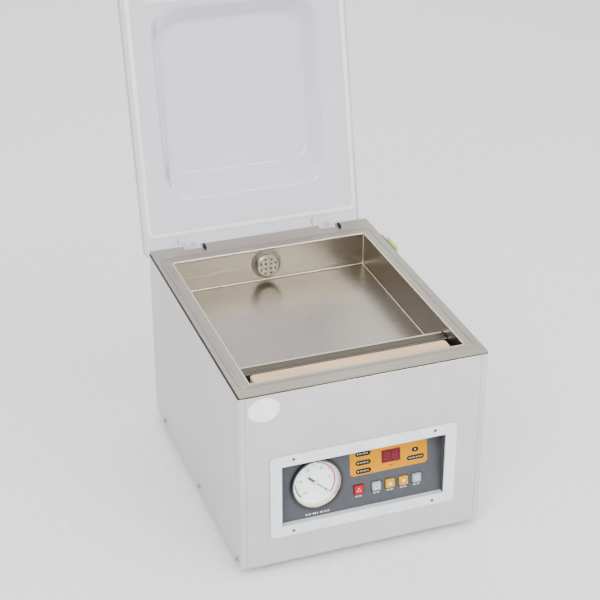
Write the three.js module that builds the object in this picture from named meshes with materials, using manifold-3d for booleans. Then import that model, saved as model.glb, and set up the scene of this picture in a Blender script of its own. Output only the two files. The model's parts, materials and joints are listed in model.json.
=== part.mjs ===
// Tabletop chamber vacuum packing machine, drawn with its lid open.
// Millimetres: X to the machine's right, Y to its back, Z up.
// Places are measured from the table, under the middle of the housing. The last lines move the
// finished machine so that the origin lies under the middle of its box with the lid open.
import * as THREE from "three";
import { mergeVertices } from "three/addons/utils/BufferGeometryUtils.js";
import Module from "manifold-3d";

// ------------------------------------------------------------------ driving dimensions
const GAP = 0.3; // between two pieces that lie face to face

// Housing: folded stainless sheet
const BODY_WIDTH = 330;
const BODY_DEPTH = 412;
const BODY_HEIGHT = 258; // from the base plate's underside to the top of the rim
const FOOT_HEIGHT = 11;
const SHEET = 1.5;
const BEND = 1.2; // inside radius of a fold
const SIDE_RETURN = 8; // the side panels' folded edges, seen from the front
const TOP_FOLD = 12; // the panels' top edges, folded in under the rim
const BASE_LIP = 15; // the base plate's turned-up edges
const SIDE_SCREW = 4.4; // diameter of the holes low on the side panels
const SIDE_SCREW_HEIGHT = 8; // above the base plate's underside
const SIDE_SCREW_FRONT = 14.5; // from the front to the first one
const SIDE_SCREW_MIDDLE = 185.4; // from the front to the second
const SIDE_SCREW_BACK = 52.5; // from the back to the third
const BASE_SLOTS = 6; // air slots under the pump set
const BASE_SLOT_LENGTH = 80;
const BASE_SLOT_WIDTH = 5;
const BASE_SLOT_PITCH = 14;
const BASE_SLOT_FROM_PUMP = 40; // from the pump's front to the first slot

// Rim and vacuum chamber
const RIM_THICKNESS = 3;
const RIM_SHADOW_GAP = 1; // dark line between the rim and the panels
const RIM_INSET = 1; // the rim stops this far inside the side panels
const CHAMBER_WIDTH = 286;
const CHAMBER_FRONT = 24; // width of the rim in front of the chamber
const CHAMBER_BACK = 45; // width of the rim behind it
const CHAMBER_DEPTH = 68; // from the top of the rim to the floor of the trough
const CHAMBER_SHEET = 2;
const BEAD_WIDTH = 5.5; // raised ridge that the lid's gasket closes on
const BEAD_HEIGHT = 1;
const BEAD_SIDE = 9.5; // from the ridge's centre line to the side of the housing
const BEAD_FRONT = 19;
const BEAD_BACK = 30;
const BEAD_RADIUS = 10;

// Product tray: one folded sheet that leaves a trough for the seal bar
const TRAY_DEPTH = 49; // from the top of the rim to the tray
const TRAY_LIP_DEPTH = 17.5; // from the top of the rim to the tray's front lip
const TRAY_SIDE_GAP = 1;
const TROUGH_LENGTH = 68; // from the chamber's front wall to the tray's front wall
const TRAY_LIP = 16;
const TRAY_LIP_DROP = 8;

// Seal bar and its lift
const BAR_LENGTH = 260;
const BAR_WIDTH = 24;
const BAR_HEIGHT = 20;
const BAR_FROM_FRONT = 21; // from the chamber's front wall to the bar's centre line
const BAR_TOP_DEPTH = 10; // from the top of the rim down to the bar's metal top
const BAR_LIFT = 8;
const TAPE = 0.7; // non-stick tape over the bar
const TAPE_SKIRT = 9;
const ELEMENT_WIDTH = 4;
const ELEMENT_THICKNESS = 0.5;
const LIFT_SPACING = 190;
const LIFT_PIN = 8; // diameter
const LIFT_CLEARANCE = 0.3; // around the pin, each side
const LIFT_BODY = 30; // diameter
const LIFT_BODY_HEIGHT = 32;
const LIFT_GUIDE = 14; // length of pin left in its cylinder when the bar is up

// Lid: clear moulding on two hinges
const LID_THICKNESS = 18;
const LID_INSET = 1; // narrower than the housing, each side
const LID_RADIUS = 5;
const LID_CLEARANCE = 4.5; // from the rim to the closed lid
const LID_OPEN_DEG = 102.2;
const HINGE_DROP = 18; // from the top of the rim down to the pin
const HINGE_SPACING = 204;
const HINGE_ARM_WIDTH = 25;
const HINGE_PIN = 8; // diameter
const HINGE_EYE = 8.4; // radius of the arm's round end
const HINGE_CLEARANCE = 0.2; // around the pin
const HINGE_FOOT = 25; // length of the arm's foot under the lid
const HINGE_FOOT_THICKNESS = 3.5;
const HINGE_EAR = 3;
const HINGE_SIDE_GAP = 0.6; // beside the arm
const BOLT = 5; // diameter
const BOLT_HEAD = 4.6; // radius
const BOLT_SPACING = 14;
const GASKET_WIDTH = 7.7;
const DOME_HEIGHT = 38; // inside
const DOME_WALL = 10;
const DOME_WIDTH = 240; // at its foot
const DOME_TAPER_SIDE = 20;
const DOME_TAPER_END = 36;
const DOME_BACK = 75; // from the lid's hinge edge to the dome's foot
const DOME_LENGTH = 280;
const DOME_RADIUS = 32;
const PAD_WIDTH = 11;
const PAD_HEIGHT = 3.4;
const PAD_CHANNEL_WIDTH = 18;
const PAD_CHANNEL_HEIGHT = 3.8;
const PAD_CHANNEL_WALL = 1.5;

// Control panel: tilted plate behind a flat bezel
const BEZEL_WIDTH = 252;
const BEZEL_HEIGHT = 120.5;
const BEZEL_CENTRE = 101; // above the base plate's underside
const BEZEL_PROUD = 2.5;
const BEZEL_RADIUS = 5;
const WINDOW_WIDTH = 222;
const WINDOW_HEIGHT = 90;
const BEZEL_SCREW = 3; // diameter
const BEZEL_SCREW_X = 95.5;
const BEZEL_SCREW_Z = 54;
const PANEL_TILT_DEG = 8;
const PANEL_SET_BACK = 11.7; // behind the housing's front, at the panel's middle
const PANEL_PLATE = 3;
const PANEL_CHEEK = 2;
const BOARD_SET_BACK = 14; // from the back of the plate to the circuit board

const BUTTON_SIZE = 12.4;
const BUTTON_CLEARANCE = 0.35;
const BUTTON_PROUD = 2.4;
const BUTTON_TRAVEL = 1;
const BUTTON_FLANGE = 1.2;
const BUTTON_ROW = -20.6; // below the panel's middle
const BUTTONS = { stop: -3.6, set: 20.9, increase: 39.7, decrease: 58.3, enter: 76.9 };
const DISPLAY = { x: 42.3, y: 18.5, width: 26, height: 18 };

const GAUGE_X = -60.2;
const GAUGE_Y = 0.4;
const GAUGE_RADIUS = 35; // ring
const GAUGE_RING = 3.4; // width of the ring
const GAUGE_RING_PROUD = 5;
const GAUGE_WALL = 1.4;
const GAUGE_DEPTH = 26; // behind the panel's face
const GAUGE_STUB = 10; // pressure stub behind the case
const DIAL_SET_BACK = 5; // behind the panel's face
const DIAL_THICKNESS = 1.2;
const GLASS = 1.6;
const NEEDLE_REST_DEG = -42; // anticlockwise from the panel's right
const NEEDLE_LENGTH = 24;
const NEEDLE_TAIL = 11;

// Power switch on the right side, beside the hinge end of the rim
const SWITCH_LENGTH = 62;
const SWITCH_HEIGHT = 24;
const SWITCH_FROM_BACK = 81; // from the back of the housing to the switch's middle
const SWITCH_FROM_RIM = 8; // from the top of the rim to the switch's frame
const SWITCH_BODY_DEPTH = 13;
const SWITCH_FRAME_PROUD = 2.2;
const ROCKER_LENGTH = 46;
const ROCKER_HEIGHT = 16;
const ROCKER_THROW_DEG = 14;

// Rear panel
const INLET_X = -105;
const INLET_Z = 45; // above the base plate's underside
const INLET_WIDTH = 27;
const INLET_HEIGHT = 20;
const INLET_FLANGE = 50;
const INLET_DEPTH = 17;
const FUSE_X = -58;
const LOUVRE_COUNT = 6;
const LOUVRE_PITCH = 13;
const LOUVRE_LENGTH = 74;
const LOUVRE_HEIGHT = 6;
const LOUVRE_PROUD = 4;
const LOUVRE_WALL = 1.2;
const LOUVRE_X = 46; // from the motor's axis to the middle of each bank
const LOUVRE_Z = 72;

// Pump set, standing on the base plate
const PUMP_X = -40;
const PUMP_FROM_GAUGE = 30.3; // from the end of the gauge's stub to the pump
const PUMP_LENGTH = 100;
const PUMP_WIDTH = 124;
const PUMP_HEIGHT = 138;
const COWL_FROM_REAR = 56.2; // from the fan cowl to the rear panel; the motor fills what is left
const MOTOR_RADIUS = 50;
const MOTOR_FINS = 16;
const MOTOR_FIN_DEPTH = 6;
const MOTOR_AXIS = 84; // above the base plate's top
const COWL_LENGTH = 44;
const COWL_LAP = 8; // how far the cowl reaches over the motor
const TERMINAL_BOX_END = 16; // from each end of the motor to its terminal box
const MOTOR_FOOT = 20;
const COWL_WALL = 1.5;
const FAN_BLADES = 7;
const FAN_RADIUS = 44;
const FAN_CHORD = 18;
const FAN_PITCH_DEG = 18;
const SHAFT = 12; // diameter
const HOSE = 14; // outer diameter
const PORT_BORE = 5; // radius
const PORT_STUB = 14; // length behind the chamber's inner wall

const FOOT_RADIUS = 14;
const FOOT_SCREW = 5; // diameter of the hole over each foot
const FOOT_INSET = 34;

// ------------------------------------------------------------------ places worked out
const LEFT = -BODY_WIDTH / 2;
const RIGHT = BODY_WIDTH / 2;
const FRONT = -BODY_DEPTH / 2;
const BACK = BODY_DEPTH / 2;
const BASE = FOOT_HEIGHT;
const RIM_TOP = BASE + BODY_HEIGHT;
const RIM_BOTTOM = RIM_TOP - RIM_THICKNESS;
const PANEL_TOP = RIM_BOTTOM - RIM_SHADOW_GAP;
const CHAMBER_X = CHAMBER_WIDTH / 2;
const CHAMBER_Y0 = FRONT + CHAMBER_FRONT;
const CHAMBER_Y1 = BACK - CHAMBER_BACK;
const CHAMBER_FLOOR = RIM_TOP - CHAMBER_DEPTH;
const TRAY_FRONT = CHAMBER_Y0 + TROUGH_LENGTH;
const BAR_Y = CHAMBER_Y0 + BAR_FROM_FRONT;
const BAR_TOP = RIM_TOP - BAR_TOP_DEPTH;
const HINGE_Z = RIM_TOP - HINGE_DROP;
const LID_FACE = HINGE_DROP + LID_CLEARANCE; // from the hinge pin to the lid's inner face
const PUMP_FLOOR = BASE + SHEET + GAP;
const PUMP_FRONT = FRONT + PANEL_SET_BACK + GAUGE_DEPTH + GAUGE_STUB + PUMP_FROM_GAUGE;
const PUMP_BACK = PUMP_FRONT + PUMP_LENGTH;
const MOTOR_FRONT = PUMP_BACK + GAP;
const MOTOR_BACK = BACK - SHEET - COWL_FROM_REAR - COWL_LENGTH;
const MOTOR_Z = PUMP_FLOOR + MOTOR_AXIS;
const PORT_X = -6;
const PORT_Z = RIM_TOP - 24;

// ------------------------------------------------------------------ finishes
function finish(color, roughness, metalness, opacity = 1) {
  const transparent = opacity < 1;
  return new THREE.MeshStandardMaterial({ color, roughness, metalness, opacity, transparent });
}

const brushedSteel = finish(0xd2cecd, 0.38, 0.9);
const chamberSteel = finish(0xb3aea8, 0.42, 0.9);
const zincSteel = finish(0xa9adb0, 0.5, 0.8);
const castAluminium = finish(0xaeb2b4, 0.45, 0.8);
const clearAcrylic = finish(0xe0dee3, 0.08, 0, 0.35);
const whiteSilicone = finish(0xe6e4e0, 0.6, 0);
const tanTape = finish(0xdccab4, 0.55, 0);
const heaterAlloy = finish(0x6f6b66, 0.4, 0.9);
const greyBezel = finish(0xe0e2e4, 0.4, 0.3);
const darkPanel = finish(0x5e6064, 0.5, 0.1);
const blackPlastic = finish(0x202226, 0.45, 0);
const redPlastic = finish(0xcc2030, 0.35, 0);
const redLens = finish(0x7b1f2b, 0.1, 0, 0.85);
const greyPlastic = finish(0xa9b0b4, 0.4, 0);
const yellowPlastic = finish(0xe8a800, 0.4, 0);
const dialWhite = finish(0xd8dcde, 0.6, 0);
const glass = finish(0xf4f8fa, 0.03, 0, 0.25);
const greenLens = finish(0xb5c878, 0.2, 0, 0.9);
const blackRubber = finish(0x1c1c1c, 0.85, 0);
const pumpPaint = finish(0x3f5f86, 0.45, 0.1);
const boardGreen = finish(0x2f6b46, 0.6, 0);
const clearHose = finish(0xcfd6d4, 0.3, 0, 0.7);

// ------------------------------------------------------------------ solids
const wasm = await Module();
wasm.setup();

/** A closed geometry as a solid that can be cut and joined. */
function solid(geometry) {
  const bare = geometry.clone();
  bare.deleteAttribute("normal");
  bare.deleteAttribute("uv");
  const merged = mergeVertices(bare, 1e-4);
  const vertProperties = new Float32Array(merged.attributes.position.array);
  const corners = merged.index.array;
  const kept = [];
  for (let i = 0; i < corners.length; i += 3) {
    const [a, b, c] = corners.slice(i, i + 3);
    if (a !== b && b !== c && c !== a) kept.push(a, b, c); // a profile on its axis folds faces flat
  }
  const triVerts = new Uint32Array(kept);
  return new wasm.Manifold(new wasm.Mesh({ numProp: 3, vertProperties, triVerts }));
}

/** The geometry of a solid, with flat faces. */
function geometryOf(body) {
  const { vertProperties, triVerts } = body.getMesh();
  const indexed = new THREE.BufferGeometry();
  indexed.setAttribute("position", new THREE.BufferAttribute(new Float32Array(vertProperties), 3));
  indexed.setIndex(new THREE.BufferAttribute(new Uint32Array(triVerts), 1));
  const flat = indexed.toNonIndexed();
  flat.computeVertexNormals();
  return flat;
}

/** A box between two values of x, of y and of z. */
function block([x0, x1], [y0, y1], [z0, z1]) {
  const geometry = new THREE.BoxGeometry(x1 - x0, y1 - y0, z1 - z0);
  geometry.translate((x0 + x1) / 2, (y0 + y1) / 2, (z0 + z1) / 2);
  return solid(geometry);
}

const AXES = {
  x: new THREE.Matrix4().makeBasis(
    new THREE.Vector3(0, 1, 0),
    new THREE.Vector3(0, 0, 1),
    new THREE.Vector3(1, 0, 0),
  ),
  y: new THREE.Matrix4().makeBasis(
    new THREE.Vector3(0, 0, 1),
    new THREE.Vector3(1, 0, 0),
    new THREE.Vector3(0, 1, 0),
  ),
  z: new THREE.Matrix4(),
};

/** Carries a geometry drawn along +Z onto another axis and then to a place. */
function along(geometry, axis, [x, y, z] = [0, 0, 0]) {
  geometry.applyMatrix4(AXES[axis]);
  geometry.translate(x, y, z);
  return solid(geometry);
}

/** A round bar that starts at a point and runs along +axis. */
function bar(axis, at, radius, length, sides = 24) {
  const geometry = new THREE.CylinderGeometry(radius, radius, length, sides);
  geometry.rotateX(Math.PI / 2);
  geometry.translate(0, 0, length / 2);
  return along(geometry, axis, at);
}

/** A profile of [radius, height] points, from the axis round to the axis, turned about +axis. */
function turned(axis, at, profile, sides = 32) {
  const points = profile.map(([r, h]) => new THREE.Vector2(r, h));
  const area = THREE.ShapeUtils.area(points);
  if (area < 0) points.reverse();
  const geometry = new THREE.LatheGeometry(points, sides);
  geometry.rotateX(Math.PI / 2);
  return along(geometry, axis, at);
}

/** An outline extruded from one height to another. */
function prism(axis, shape, from, to, [x, y, z] = [0, 0, 0], curveSegments = 6) {
  const depth = to - from;
  const geometry = new THREE.ExtrudeGeometry(shape, { depth, bevelEnabled: false, curveSegments });
  geometry.translate(0, 0, from);
  return along(geometry, axis, [x, y, z]);
}

/** A rectangle about a centre, with round corners. */
function roundedRect(width, height, radius, cx = 0, cy = 0, Kind = THREE.Shape) {
  const [x, y] = [width / 2 - radius, height / 2 - radius];
  const shape = new Kind();
  shape.absarc(cx + x, cy + y, radius, 0, Math.PI / 2);
  shape.absarc(cx - x, cy + y, radius, Math.PI / 2, Math.PI);
  shape.absarc(cx - x, cy - y, radius, Math.PI, 1.5 * Math.PI);
  shape.absarc(cx + x, cy - y, radius, 1.5 * Math.PI, 2 * Math.PI);
  shape.closePath();
  return shape;
}

/** A rectangle with sharp corners, as a hole. */
function cornered(width, height) {
  const [x, y] = [width / 2, height / 2];
  return new THREE.Path([
    new THREE.Vector2(-x, -y),
    new THREE.Vector2(x, -y),
    new THREE.Vector2(x, y),
    new THREE.Vector2(-x, y),
  ]);
}

/** A ring of one width that follows a rounded rectangle. */
function rectRing(width, height, radius, band, cx, cy) {
  const shape = roundedRect(width + band, height + band, radius + band / 2, cx, cy);
  shape.holes.push(roundedRect(width - band, height - band, radius - band / 2, cx, cy, THREE.Path));
  return shape;
}

/** Section through sheet metal whose middle follows a path, with a radius at each fold. */
function foldedSheet(path, thickness, inside = BEND) {
  const radius = inside + thickness / 2;
  const corners = path.map(([x, y]) => new THREE.Vector2(x, y));
  const middle = [corners[0]];
  for (let i = 1; i < corners.length - 1; i += 1) {
    const before = corners[i - 1].clone().sub(corners[i]).normalize();
    const after = corners[i + 1].clone().sub(corners[i]).normalize();
    const half = Math.acos(before.dot(after)) / 2;
    const reach = radius / Math.tan(half);
    const start = corners[i].clone().addScaledVector(before, reach);
    const end = corners[i].clone().addScaledVector(after, reach);
    const curve = new THREE.QuadraticBezierCurve(start, corners[i], end);
    middle.push(...curve.getPoints(3));
  }
  middle.push(corners.at(-1));
  const side = (point, i, sign) => {
    const a = middle[Math.max(i - 1, 0)];
    const b = middle[Math.min(i + 1, middle.length - 1)];
    const direction = b.clone().sub(a).normalize();
    const normal = new THREE.Vector2(-direction.y, direction.x);
    return point.clone().addScaledVector(normal, (sign * thickness) / 2);
  };
  const right = middle.map((point, i) => side(point, i, -1));
  const left = middle.map((point, i) => side(point, i, 1)).reverse();
  return new THREE.Shape([...right, ...left]);
}

// ------------------------------------------------------------------ the scene graph
const machine = new THREE.Group();

/** Adds a finished piece to a group. */
function add(group, name, body, material) {
  const mesh = new THREE.Mesh(body.isBufferGeometry ? body : geometryOf(body), material);
  mesh.name = name;
  group.add(mesh);
  return mesh;
}

// ------------------------------------------------------------------ housing
/** Tray of sheet with turned-up edges, air slots under the pump and a hole over each foot. */
function basePlate() {
  const x = RIGHT - SHEET - GAP;
  const y = BACK - SHEET - GAP;
  const half = SHEET / 2;
  const section = (edge) => [
    [-edge + half, BASE + BASE_LIP],
    [-edge + half, BASE + half],
    [edge - half, BASE + half],
    [edge - half, BASE + BASE_LIP],
  ];
  const across = foldedSheet(section(x).map(([a, z]) => [z, a]), SHEET);
  const inside = y - SHEET - BEND;
  let plate = prism("y", across, -inside, inside);
  plate = plate.add(block([-x + SHEET + BEND, x - SHEET - BEND], [-y, y], [BASE, BASE + SHEET]));
  for (const end of [-1, 1]) {
    const lip = [end * y, end * (y - SHEET)].sort((a, b) => a - b);
    plate = plate.add(block([-x + SHEET + BEND, x - SHEET - BEND], lip, [BASE, BASE + BASE_LIP]));
  }
  for (let i = 0; i < BASE_SLOTS; i += 1) {
    const at = PUMP_FRONT + BASE_SLOT_FROM_PUMP + i * BASE_SLOT_PITCH;
    const slot = roundedRect(BASE_SLOT_LENGTH, BASE_SLOT_WIDTH, BASE_SLOT_WIDTH / 2 - 0.1, PUMP_X, at);
    plate = plate.subtract(prism("z", slot, BASE - 1, BASE + SHEET + 1, [0, 0, 0], 1));
  }
  for (const [fx, fy] of footPlaces()) {
    plate = plate.subtract(bar("z", [fx, fy, BASE - 1], FOOT_SCREW / 2, SHEET + 2, 12));
  }
  return plate;
}

function footPlaces() {
  const x = RIGHT - FOOT_INSET;
  const y = BACK - FOOT_INSET;
  return [
    [-x, -y],
    [x, -y],
    [-x, y],
    [x, y],
  ];
}

/** Rubber foot: a tapered button with a hollow for the screw's head. */
function foot([x, y]) {
  const top = FOOT_HEIGHT - GAP;
  const profile = [
    [0, 4],
    [5, 4],
    [5, 0],
    [FOOT_RADIUS - 3, 0],
    [FOOT_RADIUS - 1.6, 0.8],
    [FOOT_RADIUS, top],
    [0, top],
  ];
  return turned("z", [x, y, 0], profile, 16);
}

/** Side panel: a wall with narrow returns at the front and back, and a fold under the rim. */
function sidePanel(side) {
  const wall = side * (RIGHT - SHEET / 2);
  const inner = side * (RIGHT - SIDE_RETURN);
  const y = BACK - SHEET / 2;
  const path = [
    [inner, -y],
    [wall, -y],
    [wall, y],
    [inner, y],
  ];
  let panel = prism("z", foldedSheet(path, SHEET), BASE, PANEL_TOP);
  const shelf = [wall, side * (RIGHT - TOP_FOLD)].sort((a, b) => a - b);
  const ends = BACK - TOP_FOLD - RIM_SHADOW_GAP;
  panel = panel.add(block(shelf, [-ends, ends], [PANEL_TOP - SHEET, PANEL_TOP]));
  const start = side > 0 ? RIGHT - SHEET - 1 : LEFT - 1;
  for (const place of sideScrewPlaces()) {
    const hole = [start, place, BASE + SIDE_SCREW_HEIGHT];
    panel = panel.subtract(bar("x", hole, SIDE_SCREW / 2, SHEET + 2, 10));
  }
  if (side > 0) panel = panel.subtract(switchCutout());
  return panel;
}

/** Places along the depth of the screws that hold each side panel to the base plate. */
function sideScrewPlaces() {
  return [FRONT + SIDE_SCREW_FRONT, FRONT + SIDE_SCREW_MIDDLE, BACK - SIDE_SCREW_BACK];
}

/** Front panel: between the side panels' returns, folded in at the top, open for the controls. */
function frontPanel() {
  const x = RIGHT - SIDE_RETURN - GAP;
  const face = FRONT + SHEET / 2;
  const top = PANEL_TOP - SHEET / 2;
  const path = [
    [face, BASE],
    [face, top],
    [FRONT + TOP_FOLD, top],
  ];
  let panel = prism("x", foldedSheet(path, SHEET), -x, x);
  const clearance = PANEL_CHEEK + 2;
  const width = WINDOW_WIDTH / 2 + clearance;
  const height = WINDOW_HEIGHT / 2 + clearance;
  const z = BASE + BEZEL_CENTRE;
  panel = panel.subtract(block([-width, width], [FRONT - 1, FRONT + 4], [z - height, z + height]));
  for (const [sx, sz] of bezelScrewPlaces()) {
    panel = panel.subtract(bar("y", [sx, FRONT - 1, sz], BEZEL_SCREW / 2 + GAP, SHEET + 2, 10));
  }
  return panel;
}

/** Rear panel: louvres by the fan, openings for the inlet, the fuse and the hinges. */
function rearPanel() {
  const x = RIGHT - SIDE_RETURN - GAP;
  const face = BACK - SHEET / 2;
  const top = PANEL_TOP - SHEET / 2;
  const path = [
    [BACK - TOP_FOLD, top],
    [face, top],
    [face, BASE],
  ];
  let panel = prism("x", foldedSheet(path, SHEET), -x, x);
  const notch = HINGE_ARM_WIDTH / 2 + HINGE_SIDE_GAP * 2 + HINGE_EAR + GAP;
  for (const side of [-1, 1]) {
    const middle = (side * HINGE_SPACING) / 2;
    const from = HINGE_Z - HINGE_EYE - 2 * GAP;
    const across = [middle - notch, middle + notch];
    panel = panel.subtract(block(across, [BACK - TOP_FOLD - 1, BACK + 1], [from, RIM_TOP]));
  }
  for (let i = 0; i < LOUVRE_COUNT; i += 1) {
    const z = BASE + LOUVRE_Z + i * LOUVRE_PITCH;
    for (const side of [-1, 1]) {
      panel = panel.subtract(louvreSlot(PUMP_X + side * LOUVRE_X, z));
      panel = panel.add(louvreHood(PUMP_X + side * LOUVRE_X, z));
    }
  }
  panel = panel.subtract(inletOpening());
  return panel.subtract(bar("y", [FUSE_X, BACK - 3, BASE + INLET_Z], 6.5, 6, 16));
}

function louvreSlot(x, z) {
  const half = LOUVRE_LENGTH / 2 - 2;
  return block([x - half, x + half], [BACK - SHEET - 1, BACK + 1], [z, z + LOUVRE_HEIGHT - 1.5]);
}

/** Pressed hood over a louvre slot: closed at the top and the ends, open below. */
function louvreHood(x, z) {
  const y = BACK - SHEET;
  const top = z + LOUVRE_HEIGHT;
  const skin = [
    [y, top + 1],
    [BACK, top + 1],
    [BACK + LOUVRE_PROUD, z + 1],
    [BACK + LOUVRE_PROUD - LOUVRE_WALL, z],
    [BACK, top - 2],
    [y, top - 2],
  ];
  const shape = new THREE.Shape(skin.map(([a, b]) => new THREE.Vector2(a, b)));
  const half = LOUVRE_LENGTH / 2;
  let hood = prism("x", shape, x - half, x + half);
  const root = BACK - SHEET / 2;
  const cheek = new THREE.Shape([
    new THREE.Vector2(root, top + 1),
    new THREE.Vector2(BACK + LOUVRE_PROUD - 0.2, z + 1),
    new THREE.Vector2(root, z - 1),
  ]);
  for (const end of [x - half, x + half - LOUVRE_WALL]) {
    hood = hood.add(prism("x", cheek, end, end + LOUVRE_WALL));
  }
  return hood;
}

// ------------------------------------------------------------------ rim and chamber
/** Rim plate: stiff frame round the chamber, with the raised ridge and two hinge notches. */
function rimPlate() {
  const x = RIGHT - RIM_INSET;
  const outline = roundedRect(2 * x, BODY_DEPTH, 2);
  const middle = (CHAMBER_Y0 + CHAMBER_Y1) / 2;
  outline.holes.push(
    roundedRect(CHAMBER_WIDTH, CHAMBER_Y1 - CHAMBER_Y0, 2, 0, middle, THREE.Path),
  );
  let rim = prism("z", outline, RIM_BOTTOM, RIM_TOP, [0, 0, 0], 3);
  rim = rim.add(sealRidge());
  for (const side of [-1, 1]) {
    const half = HINGE_ARM_WIDTH / 2 + HINGE_SIDE_GAP;
    const notch = [(side * HINGE_SPACING) / 2 - half, (side * HINGE_SPACING) / 2 + half];
    rim = rim.subtract(block(notch, [BACK - 12, BACK + 1], [RIM_BOTTOM - 1, RIM_TOP + 1]));
  }
  return rim;
}

/** Rounded rectangle that both the ridge and the lid's gasket follow, as [width, depth, middle]. */
function sealPath() {
  const width = BODY_WIDTH - 2 * BEAD_SIDE;
  const depth = BODY_DEPTH - BEAD_FRONT - BEAD_BACK;
  return [width, depth, (BEAD_FRONT - BEAD_BACK) / 2];
}

function sealRidge() {
  const [width, depth, middle] = sealPath();
  const shape = rectRing(width, depth, BEAD_RADIUS, BEAD_WIDTH - 2 * BEAD_HEIGHT, 0, middle);
  const ridge = new THREE.ExtrudeGeometry(shape, {
    depth: BEAD_HEIGHT,
    bevelThickness: BEAD_HEIGHT,
    bevelSize: BEAD_HEIGHT,
    bevelSegments: 1,
    curveSegments: 4,
  });
  ridge.translate(0, 0, RIM_TOP - BEAD_HEIGHT);
  const whole = solid(ridge);
  const above = block([LEFT, RIGHT], [FRONT, BACK], [RIM_TOP - 0.5, RIM_TOP + 2 * BEAD_HEIGHT]);
  return whole.intersect(above);
}

/** Vacuum chamber: a deep welded tub that hangs under the rim. */
function chamberTub() {
  const wall = CHAMBER_SHEET;
  const top = RIM_BOTTOM - GAP;
  const x = [-CHAMBER_X, CHAMBER_X];
  const y = [CHAMBER_Y0, CHAMBER_Y1];
  const outside = block(
    [x[0] - wall, x[1] + wall],
    [y[0] - wall, y[1] + wall],
    [CHAMBER_FLOOR - wall, top],
  );
  let tub = outside.subtract(block(x, y, [CHAMBER_FLOOR, top + 1]));
  tub = tub.subtract(bar("y", [PORT_X, y[1] - 1, PORT_Z], PORT_BORE + 2 + GAP, wall + 2, 16));
  const gaugeHole = [GAUGE_X, y[0] - wall - 1, CHAMBER_FLOOR + 12];
  return tub.subtract(bar("y", gaugeHole, 3.5, wall + 2, 12));
}

/** Product tray: back leg, floor, front wall, lip over the trough and a short drop, one fold each. */
function productTray() {
  const half = CHAMBER_SHEET / 2;
  const back = CHAMBER_Y1 - TRAY_SIDE_GAP - half;
  const floor = RIM_TOP - TRAY_DEPTH - half;
  const lip = RIM_TOP - TRAY_LIP_DEPTH - half;
  const wall = TRAY_FRONT + half;
  const path = [
    [back, CHAMBER_FLOOR + GAP],
    [back, floor],
    [wall, floor],
    [wall, lip],
    [TRAY_FRONT - TRAY_LIP, lip],
    [TRAY_FRONT - TRAY_LIP, lip - TRAY_LIP_DROP],
  ];
  const x = CHAMBER_X - TRAY_SIDE_GAP;
  return prism("x", foldedSheet(path, CHAMBER_SHEET), -x, x);
}

/** Suction port's cap: a flange on the wall, a drilled face and a hose stub through the wall. */
function portCover() {
  const [flange, body, face] = [22, 17.5, 15.5];
  const proud = 10;
  const profile = [
    [0, proud - 2],
    [body - 3, proud - 2],
    [body - 3, 2],
    [PORT_BORE, 2],
    [PORT_BORE, -PORT_STUB],
    [PORT_BORE + 2, -PORT_STUB],
    [PORT_BORE + 2, GAP],
    [flange, GAP],
    [flange, 1.6],
    [body, 2.4],
    [body, proud - 2],
    [face, proud],
    [0, proud],
  ];
  const cap = turned("z", [0, 0, 0], profile, 24);
  const rings = [
    [8, 11.5],
    [4, 5.2],
  ];
  let drilled = cap;
  for (const [count, radius] of rings) {
    for (let i = 0; i < count; i += 1) {
      const angle = ((i + 0.5) * 2 * Math.PI) / count;
      const at = [radius * Math.cos(angle), radius * Math.sin(angle), proud - 3];
      drilled = drilled.subtract(bar("z", at, 1.6, 4, 8));
    }
  }
  return drilled.rotate([90, 0, 0]).translate([PORT_X, CHAMBER_Y1, PORT_Z]);
}

// ------------------------------------------------------------------ seal bar
const BAR_BOTTOM = BAR_TOP - BAR_HEIGHT;

/** Aluminium bar with round ends, and a groove for the heating strip along its top. */
function sealBar() {
  const plan = roundedRect(BAR_LENGTH, BAR_WIDTH, 6, 0, BAR_Y);
  const body = prism("z", plan, BAR_BOTTOM, BAR_TOP, [0, 0, 0], 4);
  const half = ELEMENT_WIDTH / 2 + GAP;
  const groove = [BAR_TOP - ELEMENT_THICKNESS - GAP, BAR_TOP + 1];
  return body.subtract(block([LEFT, RIGHT], [BAR_Y - half, BAR_Y + half], groove));
}

/** Heating strip, with its ends turned down over the ends of the bar. */
function heatingStrip() {
  const x = BAR_LENGTH / 2 + GAP + ELEMENT_THICKNESS / 2;
  const z = BAR_TOP - ELEMENT_THICKNESS / 2;
  const path = [
    [z - 9, -x],
    [z, -x],
    [z, x],
    [z - 9, x],
  ];
  const strip = foldedSheet(path, ELEMENT_THICKNESS, 0.3);
  return prism("y", strip, BAR_Y - ELEMENT_WIDTH / 2, BAR_Y + ELEMENT_WIDTH / 2);
}

/** Non-stick tape: over the top of the bar and part of the way down each side. */
function sealTape() {
  const y = BAR_WIDTH / 2 + GAP + TAPE / 2;
  const z = BAR_TOP + GAP + TAPE / 2;
  const path = [
    [BAR_Y - y, z - TAPE_SKIRT],
    [BAR_Y - y, z],
    [BAR_Y + y, z],
    [BAR_Y + y, z - TAPE_SKIRT],
  ];
  const x = BAR_LENGTH / 2 - 6;
  return prism("x", foldedSheet(path, TAPE, 0.8), -x, x);
}

function liftPin(side) {
  const x = (side * LIFT_SPACING) / 2;
  const bottom = CHAMBER_FLOOR + LIFT_BODY_HEIGHT - BAR_LIFT - LIFT_GUIDE;
  return bar("z", [x, BAR_Y, bottom], LIFT_PIN / 2, BAR_BOTTOM - GAP - bottom, 20);
}

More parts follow.
